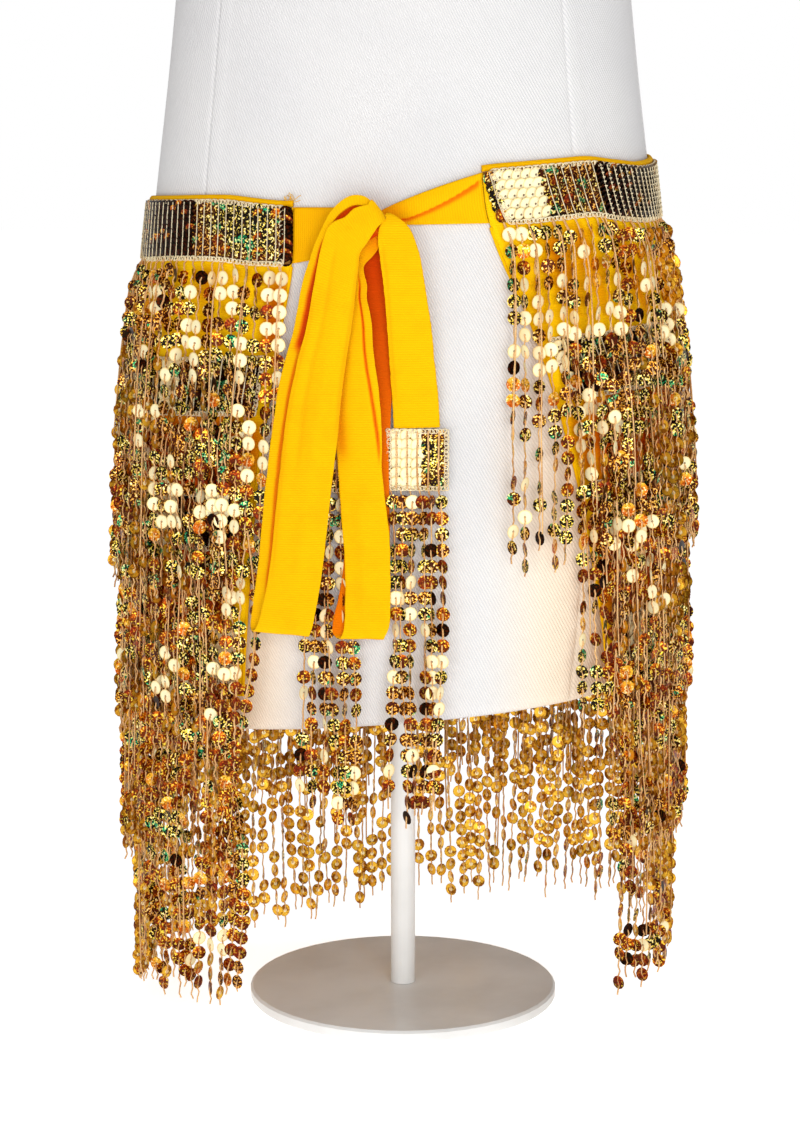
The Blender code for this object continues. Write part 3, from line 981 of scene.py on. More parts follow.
def bandPoint(row, across, down, offset):
    drop = row["drop"] + bandHeight * down
    angle = wrapAngle(drop, across, row["inset"], row["inset"] + row["slant"] * down)
    return angle, onCloth(angle, wrapHeight(drop, angle), offset)


# 1 where painted reflected light gathers as pale discs, 0 away from there
def paintedGlare(angle, point):
    found = 0.0
    for spotAngle, height, halfWidth, halfHeight, strength in paintedGlareSpots:
        sideways = math.radians(facing(angle - spotAngle)) * 0.14
        away = math.hypot(sideways / halfWidth, (point.z - height) / halfHeight)
        found = max(found, strength * (1 - smooth(0.7, 1.4, away)))
    return found


# Tones of a disc. A flecked one is a speckled one with fewer specks, and a pale one is painted reflected
# light
tones = {"dark": 0.02, "amber": 0.2, "flecked": 0.4, "speckled": 0.55, "gold": 0.8, "pale": 0.95}
# Share of each tone in a row, from the darkest, as a running total
toneShares = {
    1: (("amber", 0.26), ("dark", 0.30), ("speckled", 0.84), ("gold", 0.93), ("pale", 1.0)),
    2: (("amber", 0.49), ("dark", 0.51), ("speckled", 0.84), ("gold", 0.96), ("pale", 1.0)),
    3: (("amber", 0.55), ("dark", 0.56), ("speckled", 0.80), ("gold", 0.97), ("pale", 1.0)),
    4: (("amber", 0.55), ("dark", 0.56), ("speckled", 0.77), ("gold", 0.98), ("pale", 1.0)),
}


# Runs of like discs down a strand, broken up by single ones
def discTone(dice, angle, point, strand, number, row):
    run = 0.5 + 0.75 * noise.noise(Vector((strand * 0.83, number * 0.17, row * 7.7)))
    loose = dice.random()
    picked = min(max(run, 0), 0.999) if dice.random() < 0.55 else loose
    # Painted reflected light: a pale disc where glare gathers
    if dice.random() < paintedGlare(angle, point):
        return tones["pale"]
    if abs(facing(angle)) > 105 and row > 2:
        picked *= 0.95
    return tones[next(name for name, share in toneShares[row] if picked < share)]


def bandTone(row, across, dice):
    around = facing(wrapAngle(row["drop"], across, row["inset"], row["inset"]))
    if row["number"] == 1:
        # Painted dark reflection of the discs turned away, at the sides and the left end
        if across < 0.010 or 57 < around < 112 or -112 < around < -52:
            return tones["dark"] if dice.random() < 0.88 else tones["amber"]
        # Painted reflected light: a strip of pale discs
        if 31.5 < around < 44:
            return tones["pale"]
        if -52 <= around <= 57:
            return tones["flecked"] if dice.random() < 0.93 else tones["amber"]
    patch = noise.noise(Vector((around * 0.06, row["number"] * 3.1, 0.4)))
    # Painted reflected light: patches of pale discs
    if patch > 0.25:
        return tones["pale"]
    return tones["flecked"] if dice.random() < 0.7 else tones["dark"]


def addFringe(row):
    look = fringeLook
    dice = random.Random(look["seed"] + row["number"])
    discs, threads, links = PointGuide(), LineGuide(), PointGuide()
    lie = bandOffset + 0.0011
    start, end = wrapLength(row["drop"] + bandHeight / 2, row["inset"], row["inset"])
    columns = round((end - start) / look["bandColumn"])
    bandThreads = LineGuide()
    for column in range(columns):
        across = (column + 0.5) / columns
        tone = bandTone(row, across, dice)
        dashed = row["number"] == 1 and tone < 0.3
        lines = look["dashRows"] if dashed else look["bandRows"]
        for line in range(lines):
            angle, point = bandPoint(row, across, 0.04 + 0.92 * (line + 0.5) / lines, lie)
            tilt = 0.30 if dashed else look["shingle"]
            discs.put(point, *wallAxes(angle, point.z), look["shingle"], tilt, bandTone(row, across, dice))
            if dashed and across > 0.5:
                side = wallAxes(angle, point.z)[0] * (look["dash"] / 2)
                over = onCloth(angle, point.z, lie + 0.0020)
                bandThreads.draw([over + side, over - side])
        if tone != tones["pale"]:
            above = lie + (0.0017 if dashed else 0.0011)
            bandThreads.draw([bandPoint(row, across, i / 8, above)[1] for i in range(9)])
    addStrands(row, dice, discs, threads, lie)
    stitchRound(row, links, lie + 0.0004)
    name = f"row_{row['number']}_"
    guide = discs.mesh(name + "sequins")
    sequins = grow(name + "sequins", guide, "sequins", "sequins", Diameter=look["disc"], Seed=look["seed"])
    guide = threads.mesh(name + "threads")
    strands = grow(name + "threads", guide, "threads", "thread", Thickness=look["thread"], Waver=0.0001)
    guide = bandThreads.mesh(name + "band_threads")
    thick = look["bandThread"]
    crossing = grow(name + "band_threads", guide, "threads", "stitch", Thickness=thick, Waver=0.0001)
    stitches = grow(name + "stitches", links.mesh(name + "stitches"), "stitches", "stitch")
    settle(sequins, "gold_sequins", row["name"])
    for piece in (strands, crossing, stitches):
        settle(piece, "gold_sequins")
    return [sequins, strands, crossing, stitches, addTape(row)]


def addStrands(row, dice, discs, threads, lie):
    look = fringeLook
    count = row["strands"]
    for strand in range(count):
        across = (strand + 0.5) / count
        length = strandLength + look["uneven"] * (dice.random() * 2 - 1)
        phase = dice.random() * 6.28
        tick = look["pitch"] * (0.94 + 0.10 * dice.random())
        first = look["firstDisc"] * (0.85 + 0.6 * dice.random())
        layer = 0.0012 * dice.random()
        overThread = dice.random() < look["overThread"]
        rootAngle, root = bandPoint(row, across, 1.0, 0)

        def spot(fall, off=0.0, aside=0.0):
            share = fall / strandLength
            clump = noise.noise(Vector((across * 15, row["number"] * 5.3, share * 0.9))) * look["clump"]
            own = noise.noise(Vector((strand * 3.7, row["number"] * 9.1, share * 2.3))) * look["wander"]
            lean = -0.0026 * (1 - smooth(0, first, fall))
            side = share**0.8 * (clump + own) + lean + aside
            if row["number"] > 1:
                middle = smooth(0.1, 0.6, share) * (1 - smooth(0.7, 1.1, share))
                side += look["frontDrift"] * (1 - smooth(0, 0.06, across)) * middle
            angle = rootAngle + math.degrees(side / formRadius(rootAngle, formShape["hip"]))
            out = strandOut(row, across, fall)
            out += layer * smooth(0, 0.02, fall) + 0.0010 * smooth(0.002, 0.014, fall)
            return angle, onCloth(angle, root.z - fall, lie + out + off), lie + out

        fall = first
        number = 0
        while fall < length:
            angle, point, out = spot(fall)
            room = min(max((out - bandOffset + 0.0006) / (look["disc"] / 2), 0.1), 1)
            swing = 1.4 * math.sin(phase + number * 0.33 + 1.3 * math.sin(number * 0.9 + phase)) ** 3
            swing += 0.6 * (dice.random() - 0.5)
            swing += 1.5 * noise.noise(Vector((strand * 2.1, row["number"], fall * 9)))
            if dice.random() < 0.2:
                swing += 1.0 * (1 if dice.random() < 0.5 else -1)
            free = point.z < look["freeBelow"] or (row["number"] < 4 and fall > 0.11)
            limit = 1.5 if free else math.asin(room)
            if look["bowAngle"] < facing(angle) < 0 and point.z < look["bowHeight"]:
                limit = 0.3
            swing = min(max(swing, -limit), limit)
            tone = discTone(dice, angle, point, strand, number, row["number"])
            if dice.random() > look["gapShare"]:
                discs.put(point, *wallAxes(angle, point.z), swing, 0.16 * (dice.random() - 0.3), tone)
            fall += tick
            number += 1
        steps = round((length + 0.006) / (tick / 3))
        line = []
        for i in range(steps + 1):
            at = (length + 0.006) * i / steps
            weaving = 0.0008 * math.sin(2 * math.pi * (at - first) / tick)
            line.append(spot(at, weaving)[1])
        threads.draw(line)
        if overThread:
            reach = length * (0.5 + 0.5 * dice.random())
            drift = 0.003 * (dice.random() * 2 - 1)
            over = []
            for i in range(13):
                share = i / 12
                offLine = drift * math.sin(2.2 * share + phase)
                over.append(spot(reach * share, 0.0024 * smooth(0, 0.15, share), offLine)[1])
            threads.draw(over)


def stitchRound(row, links, lie):
    first, last = (0.007, 0.9935) if row["number"] == 1 else (0.0, 1.0)
    fine = 400
    level = [first + (last - first) * i / fine for i in range(fine)]
    outline = [(across, 0.0) for across in level]
    outline += [(last, i / 16) for i in range(16)]
    outline += [(first + last - across, 1.0) for across in level]
    outline += [(first, 1 - i / 16) for i in range(17)]
    points = [bandPoint(row, across, down, lie) for across, down in outline]
    chainAlong([point for _, point in points], [angle for angle, _ in points], links)


# Links at an even pitch along a line of points on the wall
def chainAlong(points, angles, links):
    pitch = fringeLook["stitchPitch"]
    travelled, wanted, count = 0.0, 0.0, 0
    for i in range(len(points) - 1):
        step = points[i + 1] - points[i]
        while wanted <= travelled + step.length:
            point = points[i] + step * ((wanted - travelled) / step.length)
            outward = wallAxes(angles[i], point.z)[2]
            along = (step - outward * step.dot(outward)).normalized()
            side = outward.cross(along)
            lift = 0.35 if count % 2 else -0.35
            turned = along * math.cos(lift) + side * math.sin(lift)
            links.put(point, turned, outward.cross(turned), outward)
            wanted += pitch
            count += 1
        travelled += step.length


def addTape(row):
    def place(across, up, through):
        return bandPoint(row, across, 1 - up, bandOffset + 0.0007 * through)[1]

    name = f"row_{row['number']}_tape"
    mesh = wallMesh(name, shares(200), shares(3), place, (0.7, bandHeight))
    return addPiece(name, mesh, "tape", "gold_sequins")


trimmings = []
for fringeRow in fringeRows:
    trimmings += addFringe(fringeRow)
    print("made", fringeRow["name"])


# Rolled binding along the top and a narrow rolled hem down the front edges
bindingShape = {"height": 0.0038, "wall": 0.0024, "columns": 560, "twist": 0.0026}


def addBinding():
    def place(across, up, through):
        angle = wrapAngle(0, across)
        run = across * hipClothSize[0] + 0.4 * bindingShape["height"] * up
        puff = 1 + 0.05 * math.sin(2 * math.pi * run / bindingShape["twist"])
        height = wrapHeight(0, angle) + seamGap + bindingShape["height"] * up
        bulge = bindingShape["wall"] * (0.55 + 0.45 * math.sin(math.pi * up)) * puff
        return onCloth(angle, height, clothOffset + bulge * through)

    size = (hipClothSize[0], 0.006)
    acrosses = shares(bindingShape["columns"])
    mesh = wallMesh("rolled_binding", acrosses, shares(6), place, size, lambda a, u: 0.10)
    return addPiece("rolled_binding", mesh, "cloth", "yellow_cloth", "top_binding")


def addHem(name, edge):
    line = []
    for i in range(90):
        drop = 0.036 + (clothShape["drop"] - 0.036) * i / 89
        angle = reading(wrapLines, "drop", edge, drop)
        line.append(onCloth(angle, wrapHeight(drop, angle), clothOffset + clothWall / 2))
    guide = LineGuide()
    guide.draw(line)
    thick = clothShape["hemSize"] * 2
    hem = grow(name, guide.mesh(name), "threads", "cloth", Thickness=thick, Sides=8, Waver=0.0001)
    return settle(hem, "yellow_cloth")


# A few frayed threads at the front end of the binding
def addFrayed():
    dice = random.Random(5)
    guide = LineGuide()
    for _ in range(9):
        angle = wrapAngle(0, 0.002 + 0.006 * dice.random())
        root = onCloth(angle, wrapHeight(0, angle) + 0.001, clothOffset + 0.001)
        lean, rise, curl = dice.random() * 0.009, 0.003 + 0.004 * dice.random(), dice.random() * 6.28
        line = []
        for i in range(7):
            share = i / 6
            swirl = Vector((math.cos(curl + 4 * share), -0.6, math.sin(curl + 4 * share))) * 0.0016 * share
            line.append(root + Vector((lean * share, -0.001 * share, rise * math.sin(2.2 * share))) + swirl)
        guide.draw(line)
    mesh = guide.mesh("frayed_threads")
    frayed = grow("frayed_threads", mesh, "threads", "cloth", Thickness=0.0004, Waver=0.0001)
    return settle(frayed, "yellow_cloth")


trimmings += [addBinding(), addHem("front_hem_left", "left"), addHem("front_hem_right", "right"), addFrayed()]


# Ties, knot, loops and tails
knotShape = {"x": -0.004, "height": 0.507, "half": (0.0105, 0.0115, 0.0062), "offset": 0.0094}
tieRoot = (-0.003, 0.510)
strapWall = 0.0012
ties = table(
    "name edge side knotWidth spread flat",
    ("tie_left", "left", -1, 0.016, 0.5, (0.028, 0.056)),
    ("tie_right", "right", 1, 0.006, 0.8, (0.028, 0.062)),
)
# Marks on both edges of a strap, in pixels of the photograph from its top left corner, with how far
# before the form the strap lies there, in millimetres, and how deep in shade it is
markColumns = "leftX leftY rightX rightY out shade"
loopLeftMarks = table(
    markColumns,
    (383, 215, 385, 219, 16.0, 0.10), (378, 208, 383, 221.5, 17.6, 0.05),
    (371.5, 199.5, 380, 224.5, 18.8, 0.00), (368, 204.5, 377, 228, 19.2, 0.00),
    (361, 206, 373, 234, 19.4, 0.00), (354, 208.5, 369, 240, 19.2, 0.00), (345, 217, 365, 246, 18.8, 0.00),
    (335, 221, 361.5, 251, 18.4, 0.00), (327.5, 228, 359.5, 258, 18.0, 0.00),
    (323.6, 240, 358.6, 268, 17.6, 0.00), (318.6, 260, 357, 280, 17.4, 0.00),
    (313.5, 288, 355, 300, 17.2, 0.00), (306.4, 328, 351, 332, 17.0, 0.00),
    (298, 360, 346, 361, 17.0, 0.00), (289, 402, 341, 402, 17.4, 0.00), (283, 445, 337, 445, 18.2, 0.00),
    (278, 492, 331, 492, 19.4, 0.00), (273, 540, 326, 540, 20.6, 0.00), (268, 580, 321, 581, 21.4, 0.00),
    (260, 617, 313.5, 622, 21.8, 0.00), (255, 628.5, 310, 633.5, 21.2, 0.00),
    (251, 629, 308, 634, 19.4, 0.10), (250.5, 622, 309, 626, 17.6, 0.10), (255, 590, 311, 592, 16.8, 0.00),
    (259, 555, 314, 555, 16.2, 0.00), (264, 500, 320, 500, 15.4, 0.00), (271, 440, 324, 440, 14.0, 0.00),
    (279, 385, 332, 385, 13.0, 0.00), (294, 327, 338, 330, 12.4, 0.00), (302, 284, 343, 290, 12.6, 0.00),
    (307, 267, 340, 276, 13.2, 0.00), (311.4, 253, 336, 265, 14.2, 0.00),
    (315.7, 241, 334, 254, 15.4, 0.00), (322, 228, 338, 243, 16.6, 0.00), (331, 211, 345, 233, 17.6, 0.00),
    (342, 200, 352, 229, 18.0, 0.00), (353, 195, 358, 227, 18.2, 0.00), (365, 196.5, 364, 228, 18.0, 0.00),
    (374, 204, 370, 230, 17.0, 0.10), (380, 213, 375, 231, 16.0, 0.20),
)
loopRightMarks = table(
    markColumns,
    (374, 232, 380, 240, 12.6, 0.50), (366, 242, 378.6, 248, 12.8, 0.35), (358, 250, 372, 257, 12.8, 0.25),
    (352, 259, 364.5, 265, 12.4, 0.20), (348, 272, 364.5, 273, 12.0, 0.15),
    (346, 284, 367, 284, 11.8, 0.15), (344, 298, 367, 298, 11.6, 0.15), (341, 320, 371.4, 320, 11.4, 0.10),
    (338, 350, 373.5, 350, 11.2, 0.05), (335, 385, 378, 385, 11.0, 0.00), (334, 415, 381, 415, 10.8, 0.00),
    (336, 440, 382, 440, 10.8, 0.00), (338, 467, 382, 467, 10.8, 0.00),
    (340.5, 503, 385.5, 503, 10.8, 0.00), (343, 535, 389.5, 535, 10.8, 0.00),
    (345, 565, 390.5, 565, 11.0, 0.00), (345.5, 600, 390.5, 600, 11.2, 0.00),
    (344, 628, 389, 628, 11.2, 0.00), (340, 637.5, 384, 637.5, 10.4, 0.10), (333, 634, 381, 637, 8.8, 0.50),
    (333, 622, 386, 626, 8.0, 0.60), (339, 595, 388, 597, 7.6, 0.60), (344, 560, 389.5, 560, 7.4, 0.60),
    (345, 500, 389.5, 500, 7.0, 0.65), (347, 450, 388.5, 450, 6.4, 0.70), (350, 415, 391, 415, 5.8, 0.75),
    (353, 380, 392, 380, 5.4, 0.80), (355, 340, 391, 340, 5.4, 0.85), (357, 300, 388, 300, 5.8, 0.90),
    (360, 275, 386, 275, 6.4, 0.95), (364, 255, 384, 255, 7.0, 1.00), (369, 240, 382, 241, 7.4, 1.00),
)
tailRightMarks = table(
    markColumns,
    (387, 213.5, 390, 213.5, 14.2, 0.10), (384, 217, 397, 217, 15.0, 0.05),
    (380.5, 225, 407, 224.5, 15.6, 0.00), (378, 237, 414, 237, 15.4, 0.00),
    (380, 256, 420, 256, 14.8, 0.00), (382.5, 275, 423.5, 275, 14.0, 0.00),
    (385, 298, 427, 298, 12.8, 0.00), (387.5, 328, 431.5, 328, 10.8, 0.00), (390, 365, 435, 364, 8.2, 0.00),
    (392.5, 400, 438.7, 400, 6.0, 0.00), (394, 428, 440, 427, 4.6, 0.00),
)
# The left tail is hidden, so its edges are places in metres
tailLeft = table(
    "leftX leftZ rightX rightZ out shade",
    (-0.0190, 0.499, -0.0050, 0.499, 0.0038, 0.30), (-0.0310, 0.456, -0.0090, 0.457, 0.0032, 0.30),
    (-0.0420, 0.420, -0.0140, 0.421, 0.0026, 0.20), (-0.0455, 0.385, -0.0165, 0.385, 0.0024, 0.10),
)


# Place of a mark on the photograph that lies so far before the form: along the camera's ray to it
def markPlace(markX, markY, out):
    turn, pitch = math.radians(cameraView["azimuth"]), math.radians(cameraView["pitch"])
    right = Vector((math.cos(turn), math.sin(turn), 0))
    back = Vector((right.y * math.cos(pitch), -right.x * math.cos(pitch), math.sin(pitch)))
    eye = back * cameraView["distance"] + Vector((0, 0, cameraView["aim"]))
    width, height = photoSize
    focal = cameraView["lens"] / sensorSize * height
    sideways = (markX - width / 2 + cameraView["side"] * height) / focal
    ray = right * sideways + back.cross(right) * ((height / 2 - markY) / focal) - back
    near, far = 0.8 * cameraView["distance"], cameraView["distance"]
    for _ in range(40):
        middle = (near + far) / 2
        point = eye + ray * middle
        if point.y < beforeForm(point.x, point.z, out).y:
            near = middle
        else:
            far = middle
    return eye + ray * near


def placed(marks):
    stations = []
    for mark in marks:
        out = mark["out"] * 0.001
        left = markPlace(mark["leftX"], mark["leftY"], out)
        right = markPlace(mark["rightX"], mark["rightY"], out)
        ends = {"leftX": left.x, "leftZ": left.z, "rightX": right.x, "rightZ": right.z}
        stations.append({**ends, "out": out, "shade": mark["shade"]})
    return stations


# Adds to each station how far along the strap it is
def measured(rows):
    middles = []
    for row in rows:
        doubled = (row["leftX"] + row["rightX"], row["leftZ"] + row["rightZ"], 2 * row["out"])
        middles.append(Vector(doubled) / 2)
    lengths = [0.0]
    for start, end in zip(middles, middles[1:]):
        lengths.append(lengths[-1] + (end - start).length)
    for row, length in zip(rows, lengths):
        row["along"] = length / lengths[-1]
    return lengths[-1]


# Creases of a strap: place across at its start and end, where along it starts and ends,
# depth (below 0 a trough), half width as a share of the strap, and how dark its shade is
creaseColumns = "start end first last depth half shade"
loopLeftCreases = table(
    creaseColumns,
    (0.36, 0.30, 0.05, 0.34, -0.0005, 0.07, 0.16), (0.64, 0.52, 0.07, 0.46, 0.0009, 0.16, 0.0),
    (0.97, 0.97, 0.03, 0.30, -0.0005, 0.07, 0.22), (0.04, 0.04, 0.10, 0.46, -0.0004, 0.05, 0.18),
    (0.20, 0.23, 0.52, 0.84, -0.0004, 0.045, 0.60), (0.19, 0.36, 0.80, 0.94, -0.0008, 0.090, 1.10),
)
loopRightCreases = table(
    creaseColumns,
    (0.62, 0.96, 0.045, 0.30, -0.0012, 0.035, 0.90), (0.15, 0.10, 0.10, 0.30, -0.0006, 0.16, 0.35),
    (0.42, 0.40, 0.32, 0.49, 0.0008, 0.16, 0.0),
)
tailRightCreases = table(creaseColumns, (0.10, 0.06, 0.10, 0.95, -0.0004, 0.06, 0.20))
# The hollow under the arch of the left loop: where along it lies, and the lip across it
hollow = {"first": 0.942, "last": 0.990, "lip": 0.30, "depth": 0.0035}


def creaseAt(creases, column, across, along):
    total = 0.0
    for crease in creases:
        share = (along - crease["first"]) / (crease["last"] - crease["first"])
        if not 0 <= share <= 1:
            continue
        middle = crease["start"] + (crease["end"] - crease["start"]) * share + 0.01 * math.sin(9 * share)
        fade = smooth(0, 0.12, share) * (1 - smooth(0.8, 1.0, share))
        total += crease[column] * fade * math.exp(-(((across - middle) / crease["half"]) ** 2))
    return total


def hollowAt(across, along):
    opens = smooth(hollow["first"], hollow["first"] + 0.006, along)
    closes = smooth(hollow["last"] - 0.006, hollow["last"], along)
    return opens * (1 - closes) * smooth(hollow["lip"], hollow["lip"] + 0.06, across)


def strapEdges(stations, along):
    left = [reading(stations, "along", column, along) for column in ("leftX", "out", "leftZ")]
    right = [reading(stations, "along", column, along) for column in ("rightX", "out", "rightZ")]
    return Vector(left), Vector(right)


def strapFrame(stations, along):
    left, right = strapEdges(stations, along)
    before, after = strapEdges(stations, max(along - 0.006, 0)), strapEdges(stations, min(along + 0.006, 1))
    path = after[0] + after[1] - before[0] - before[1]
    return left, right, (right - left).cross(path).normalized()


def addStrap(name, node, stations, columns, creases, hollowed=False):
    length = measured(stations)
    widest = max(math.dist((r["leftX"], r["leftZ"]), (r["rightX"], r["rightZ"])) for r in stations)
    alongs = [0.0]
    for start, end in zip(stations, stations[1:]):
        span = end["along"] - start["along"]
        pieces = max(2, math.ceil(span * length / 0.0024))
        alongs += [start["along"] + span * (i + 1) / pieces for i in range(pieces)]

    def place(across, up, through):
        along = 1 - up
        left, right, outward = strapFrame(stations, along)
        soft = smooth(0, 0.06, along) * (1 - smooth(0.94, 1.0, along))
        relief = creaseAt(creases, "depth", across, along)
        relief += 0.0006 * soft * noise.noise(Vector((across * 2.2, along * 16, len(name))))
        if hollowed:
            relief += hollow["depth"] * hollowAt(across, along)
        edge = 0.0003 * soft * noise.noise(Vector((along * 60, across * 0.7, 3.3)))
        point = left.lerp(right, across) + outward * (strapWall * through + relief)
        return beforeForm(point.x + edge, point.z, point.y)

    # Painted shade: from the stations' shade, the creases' shade and the hollow under the left loop's arch
    def tint(across, up):
        along = 1 - up
        shade = reading(stations, "along", "shade", along) + creaseAt(creases, "shade", across, along)
        if hollowed:
            shade = max(shade, hollowAt(across, along))
        return min(max(shade, 0), 1)

    ups = [1 - along for along in reversed(alongs)]
    mesh = wallMesh(name, shares(columns), ups, place, (widest, length), tint)
    piece = addPiece(name, mesh, "cloth", "yellow_cloth", node)
    return piece, (widest, length)


def addTie(tie):
    side = tie["side"]
    start = math.degrees(math.atan2(tieRoot[0] + side * seamGap, formRadius(0, topEdge)))

    def place(across, up, through):
        drop = bandHeight * (1 - across)
        edge = reading(wrapLines, "drop", tie["edge"], drop)
        gap = math.degrees(1.5 * seamGap / formRadius(edge, topEdge))
        share = up if side > 0 else 1 - up
        angle = start + (edge - side * gap - start) * share
        outer = wrapHeight(drop, edge)
        inner = tieRoot[1] + tie["knotWidth"] * (across - 0.5)
        height = inner + (outer - inner) * share ** tie["spread"]
        pleat = 0.0005 * math.sin(across * 9 + share * 2.2)
        pleat *= (1 - smooth(0.55, 1.0, share)) * smooth(0, 0.2, share)
        if side > 0:
            pleat += 0.0011 * smooth(-0.01, 0.03, overFold(across, share))
        return onForm(angle, height, clothOffset + max(pleat, 0) + strapWall * through)

    # How far above the fold line of the right tie a place on it lies
    def overFold(across, share):
        return across - 0.27 - 0.62 * min(max((share - 0.32) / 0.68, 0), 1)

    # Painted shade: a shadow line below the fold of the right tie, and darker cloth near the knot
    def tint(across, up):
        share = up if side > 0 else 1 - up
        if side > 0:
            below = overFold(across, share)
            line = math.exp(-((min(below + 0.02, 0) / 0.10) ** 2)) * (1 - smooth(-0.02, 0.02, below))
            return 0.75 * line * (1 - smooth(0.94, 1.0, share)) + 0.30 * (1 - smooth(0.15, 0.45, share))
        return 0.16 + 0.25 * smooth(0.30, 0.0, share)

    mesh = wallMesh(tie["name"] + "_cloth", shares(18), shares(40), place, tie["flat"], tint)
    return addPiece(tie["name"] + "_cloth", mesh, "cloth", "yellow_cloth", tie["name"]), tie["flat"]


def addKnot():
    made = bmesh.new()
    bmesh.ops.create_uvsphere(made, u_segments=48, v_segments=32, radius=1)
    folds = {}
    for vertex in made.verts:
        x, y, z = vertex.co
        wrap = 3 * (z + 0.6 * x) * math.pi / 2
        groove = abs(math.sin(wrap))
        size = 1 - 0.07 * groove
        half = knotShape["half"]
        # Painted shade: darker in the grooves of the wraps, and deep shade on the front where the loops cover
        # the knot
        hidden = smooth(0.1, 0.5, -y) * (1 - smooth(0.45, 0.75, abs(x)))
        folds[vertex.index] = (0.2 + 0.25 * groove) * (1 - hidden) + (0.75 + 0.25 * groove) * hidden
        vertex.co = beforeForm(
            knotShape["x"] + half[0] * x * size, knotShape["height"] + half[1] * z * size,
            knotShape["offset"] - half[2] * y * size,
        )
    mesh = bpy.data.meshes.new("knot_cloth")
    made.to_mesh(mesh)
    made.free()
    layer = mesh.uv_layers.new(name="weave")
    for loop in mesh.loops:
        point = mesh.vertices[loop.vertex_index].co
        layer.data[loop.index].uv = (point.z, point.x)
    paintedShade = mesh.attributes.new("paintedShade", "FLOAT", "POINT")
    for i, value in folds.items():
        paintedShade.data[i].value = value
    outwards(mesh)
    mesh.shade_smooth()
    return addPiece("knot_cloth", mesh, "cloth", "yellow_cloth", "knot")


strapPieces = [addTie(tie) for tie in ties]
knot = addKnot()
loopLeft, loopRight, tailRight = placed(loopLeftMarks), placed(loopRightMarks), placed(tailRightMarks)
strapPieces += [
    addStrap("loop_left_cloth", "loop_left", loopLeft, 36, loopLeftCreases, True),
    addStrap("loop_right_cloth", "loop_right", loopRight, 32, loopRightCreases),
    addStrap("tail_right_cloth", "tail_right", tailRight, 24, tailRightCreases),
    addStrap("tail_left_cloth", "tail_left", tailLeft, 14, ()),
]
print("bow made")


# Sequin tips of the two tails
tipLook = {"size": 0.034, "strands": 6, "columns": 5, "rows": 6, "lean": 0.004}
ends = {"tip_right": (0.0240, 0.3872), "tip_left": (-0.0310, 0.3847)}


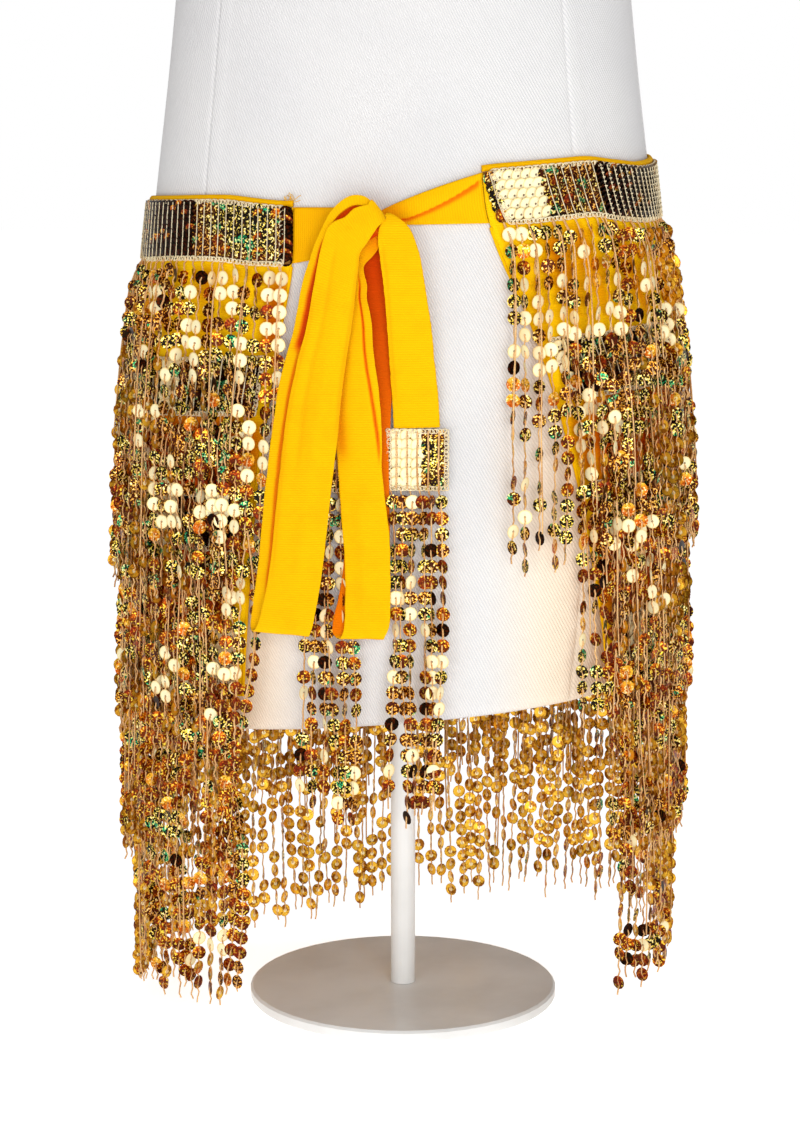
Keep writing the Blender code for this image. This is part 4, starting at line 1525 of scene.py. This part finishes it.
def addTip(name, stations, seed):
    look, discLook = tipLook, fringeLook
    dice = random.Random(seed)
    discs, threads, links = PointGuide(), LineGuide(), PointGuide()
    middle, top = ends[name]
    standOff = stations[-1]["out"]

    def spot(across, down, fall, off=0.0, aside=0.0):
        x = middle + look["size"] * (across - 0.5) + aside
        height = top - look["size"] * down - fall
        return beforeForm(x, height, standOff + 0.0009 + look["lean"] * fall + off)

    axes = (Vector((1, 0, 0)), Vector((0, 0, 1)), Vector((0, -1, 0)))
    for column in range(look["columns"]):
        for line in range(look["rows"]):
            across = (column + 0.5) / look["columns"]
            # Pale discs here are painted reflected light, on the left of the right tip
            pale = across < 0.6 if name == "tip_right" else dice.random() < 0.3
            tone = tones["pale" if pale else "speckled"]
            point = spot(0.04 + 0.92 * across, (line + 0.5) / look["rows"], 0)
            discs.put(point, *axes, discLook["shingle"], discLook["shingle"], tone)
        across = 0.04 + 0.92 * (column + 0.5) / look["columns"]
        threads.draw([spot(across, i / 5, 0, 0.0012) for i in range(6)])
    for strand in range(look["strands"]):
        across = (strand + 0.5) / look["strands"]
        length = strandLength + 0.006 * (dice.random() * 2 - 1)
        phase = dice.random() * 6.28
        tick = discLook["pitch"]
        first = discLook["firstDisc"]

        def sway(fall):
            share = fall / strandLength
            return 0.009 * share**0.8 * noise.noise(Vector((strand * 2.9, seed, share * 1.6)))

        fall, number = first, 0
        while fall < length:
            twist = 1.1 * math.sin(phase + number * 0.45) ** 3 + 0.5 * (dice.random() - 0.5)
            # A pale disc on a strand is painted reflected light
            tone = tones["pale"]
            if dice.random() >= 0.14:
                tone = tones["speckled"] if dice.random() < 0.55 else 0.3 * dice.random()
            point = spot(across, 1, fall, 0.0028 * smooth(0, 0.012, fall), sway(fall))
            if dice.random() > discLook["gapShare"]:
                discs.put(point, *axes, twist, 0.1 * dice.random(), tone)
            fall += tick
            number += 1
        steps = round((length + 0.006) / (tick / 3))
        line = []
        for i in range(steps + 1):
            at = (length + 0.006) * i / steps
            off = 0.0028 * smooth(0, 0.012, at) + 0.0007 * math.sin(2 * math.pi * (at - first) / tick)
            line.append(spot(across, 1, at, off, sway(at) - 0.002 * (1 - smooth(0, first, at))))
        threads.draw(line)
    square = [(i / 20, 0) for i in range(20)] + [(1, i / 20) for i in range(20)]
    square += [(1 - i / 20, 1) for i in range(20)] + [(0, 1 - i / 20) for i in range(21)]
    chainAlong([spot(a, d, 0, 0.0006) for a, d in square], [0] * len(square), links)
    discSize = discLook["disc"]
    sequins = grow(name + "_sequins", discs.mesh(name), "sequins", "sequins", Diameter=discSize, Seed=seed)
    strands = grow(name + "_threads", threads.mesh(name), "threads", "thread", Thickness=discLook["thread"])
    stitches = grow(name + "_stitches", links.mesh(name), "stitches", "stitch")

    def place(across, up, through):
        return spot(across, 1 - up, 0, -0.0009 + 0.0006 * through)

    patch = addPiece(
        name + "_patch", wallMesh(name + "_patch", shares(12), shares(12), place, (0.034, 0.034)), "tape",
        "gold_sequins",
    )
    settle(sequins, "gold_sequins", name)
    settle(strands, "gold_sequins")
    settle(stitches, "gold_sequins")
    return [sequins, strands, stitches, patch]


tipRight = addTip("tip_right", tailRight, 31)
tipLeft = addTip("tip_left", tailLeft, 47)
print("tips made")


# The strap pieces with their flat sizes, and the tips on the tails: gone through, with nothing done to them
for tiePiece, flatSize in strapPieces[:2]:
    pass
strapTips = {"tail_right_cloth": tipRight, "tail_left_cloth": tipLeft}
for strapPiece, flatSize in strapPieces[2:]:
    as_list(strapTips.get(strapPiece.name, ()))


# Floor and light
studio = {"world": 0.33, "overhead": 5.0, "key": 21.0, "low": 9.5, "floor": 9.0}


def addFloor():
    mesh = bpy.data.meshes.new("floor")
    reach = studio["floor"]
    corners = [(-reach, -reach, 0), (reach, -reach, 0), (reach, reach, 0), (-reach, reach, 0)]
    mesh.from_pydata(corners, [], [(0, 1, 2, 3)])
    mesh.materials.append(finishes["floor"])
    floor = bpy.data.objects.new("floor", mesh)
    bpy.context.scene.collection.objects.link(floor)


def addLight(name, power, size, place, aim):
    light = bpy.data.lights.new(name, "AREA")
    light.energy = power
    light.shape = "DISK"
    light.size = size
    lamp = bpy.data.objects.new(name, light)
    bpy.context.scene.collection.objects.link(lamp)
    lamp.location = place
    lamp.rotation_euler = (Vector(aim) - Vector(place)).to_track_quat("-Z", "Y").to_euler()


def addStudio():
    world = bpy.data.worlds.new("studio")
    world.use_nodes = True
    bpy.context.scene.world = world
    graph = Graph(world.node_tree)
    backdrop = world.node_tree.nodes["Background"]
    backdrop.inputs["Color"].default_value = (1, 1, 1, 1)
    seen = graph.add("ShaderNodeLightPath", {}, {}, "Is Camera Ray")
    graph.feed(backdrop.inputs["Strength"], seen * (1 - studio["world"]) + studio["world"])
    addLight("overheadSoftbox", studio["overhead"], 2.4, (0.2, -0.2, 2.4), (0, 0, 0))
    addLight("frontKey", studio["key"], 1.3, (0.75, -2.2, 0.85), (0, 0, 0.3))
    addLight("lowFront", studio["low"], 1.2, (-0.5, -2.3, 0.35), (0, 0, 0.2))


addFloor()
addStudio()
bpy.context.scene.view_settings.view_transform = "Standard"
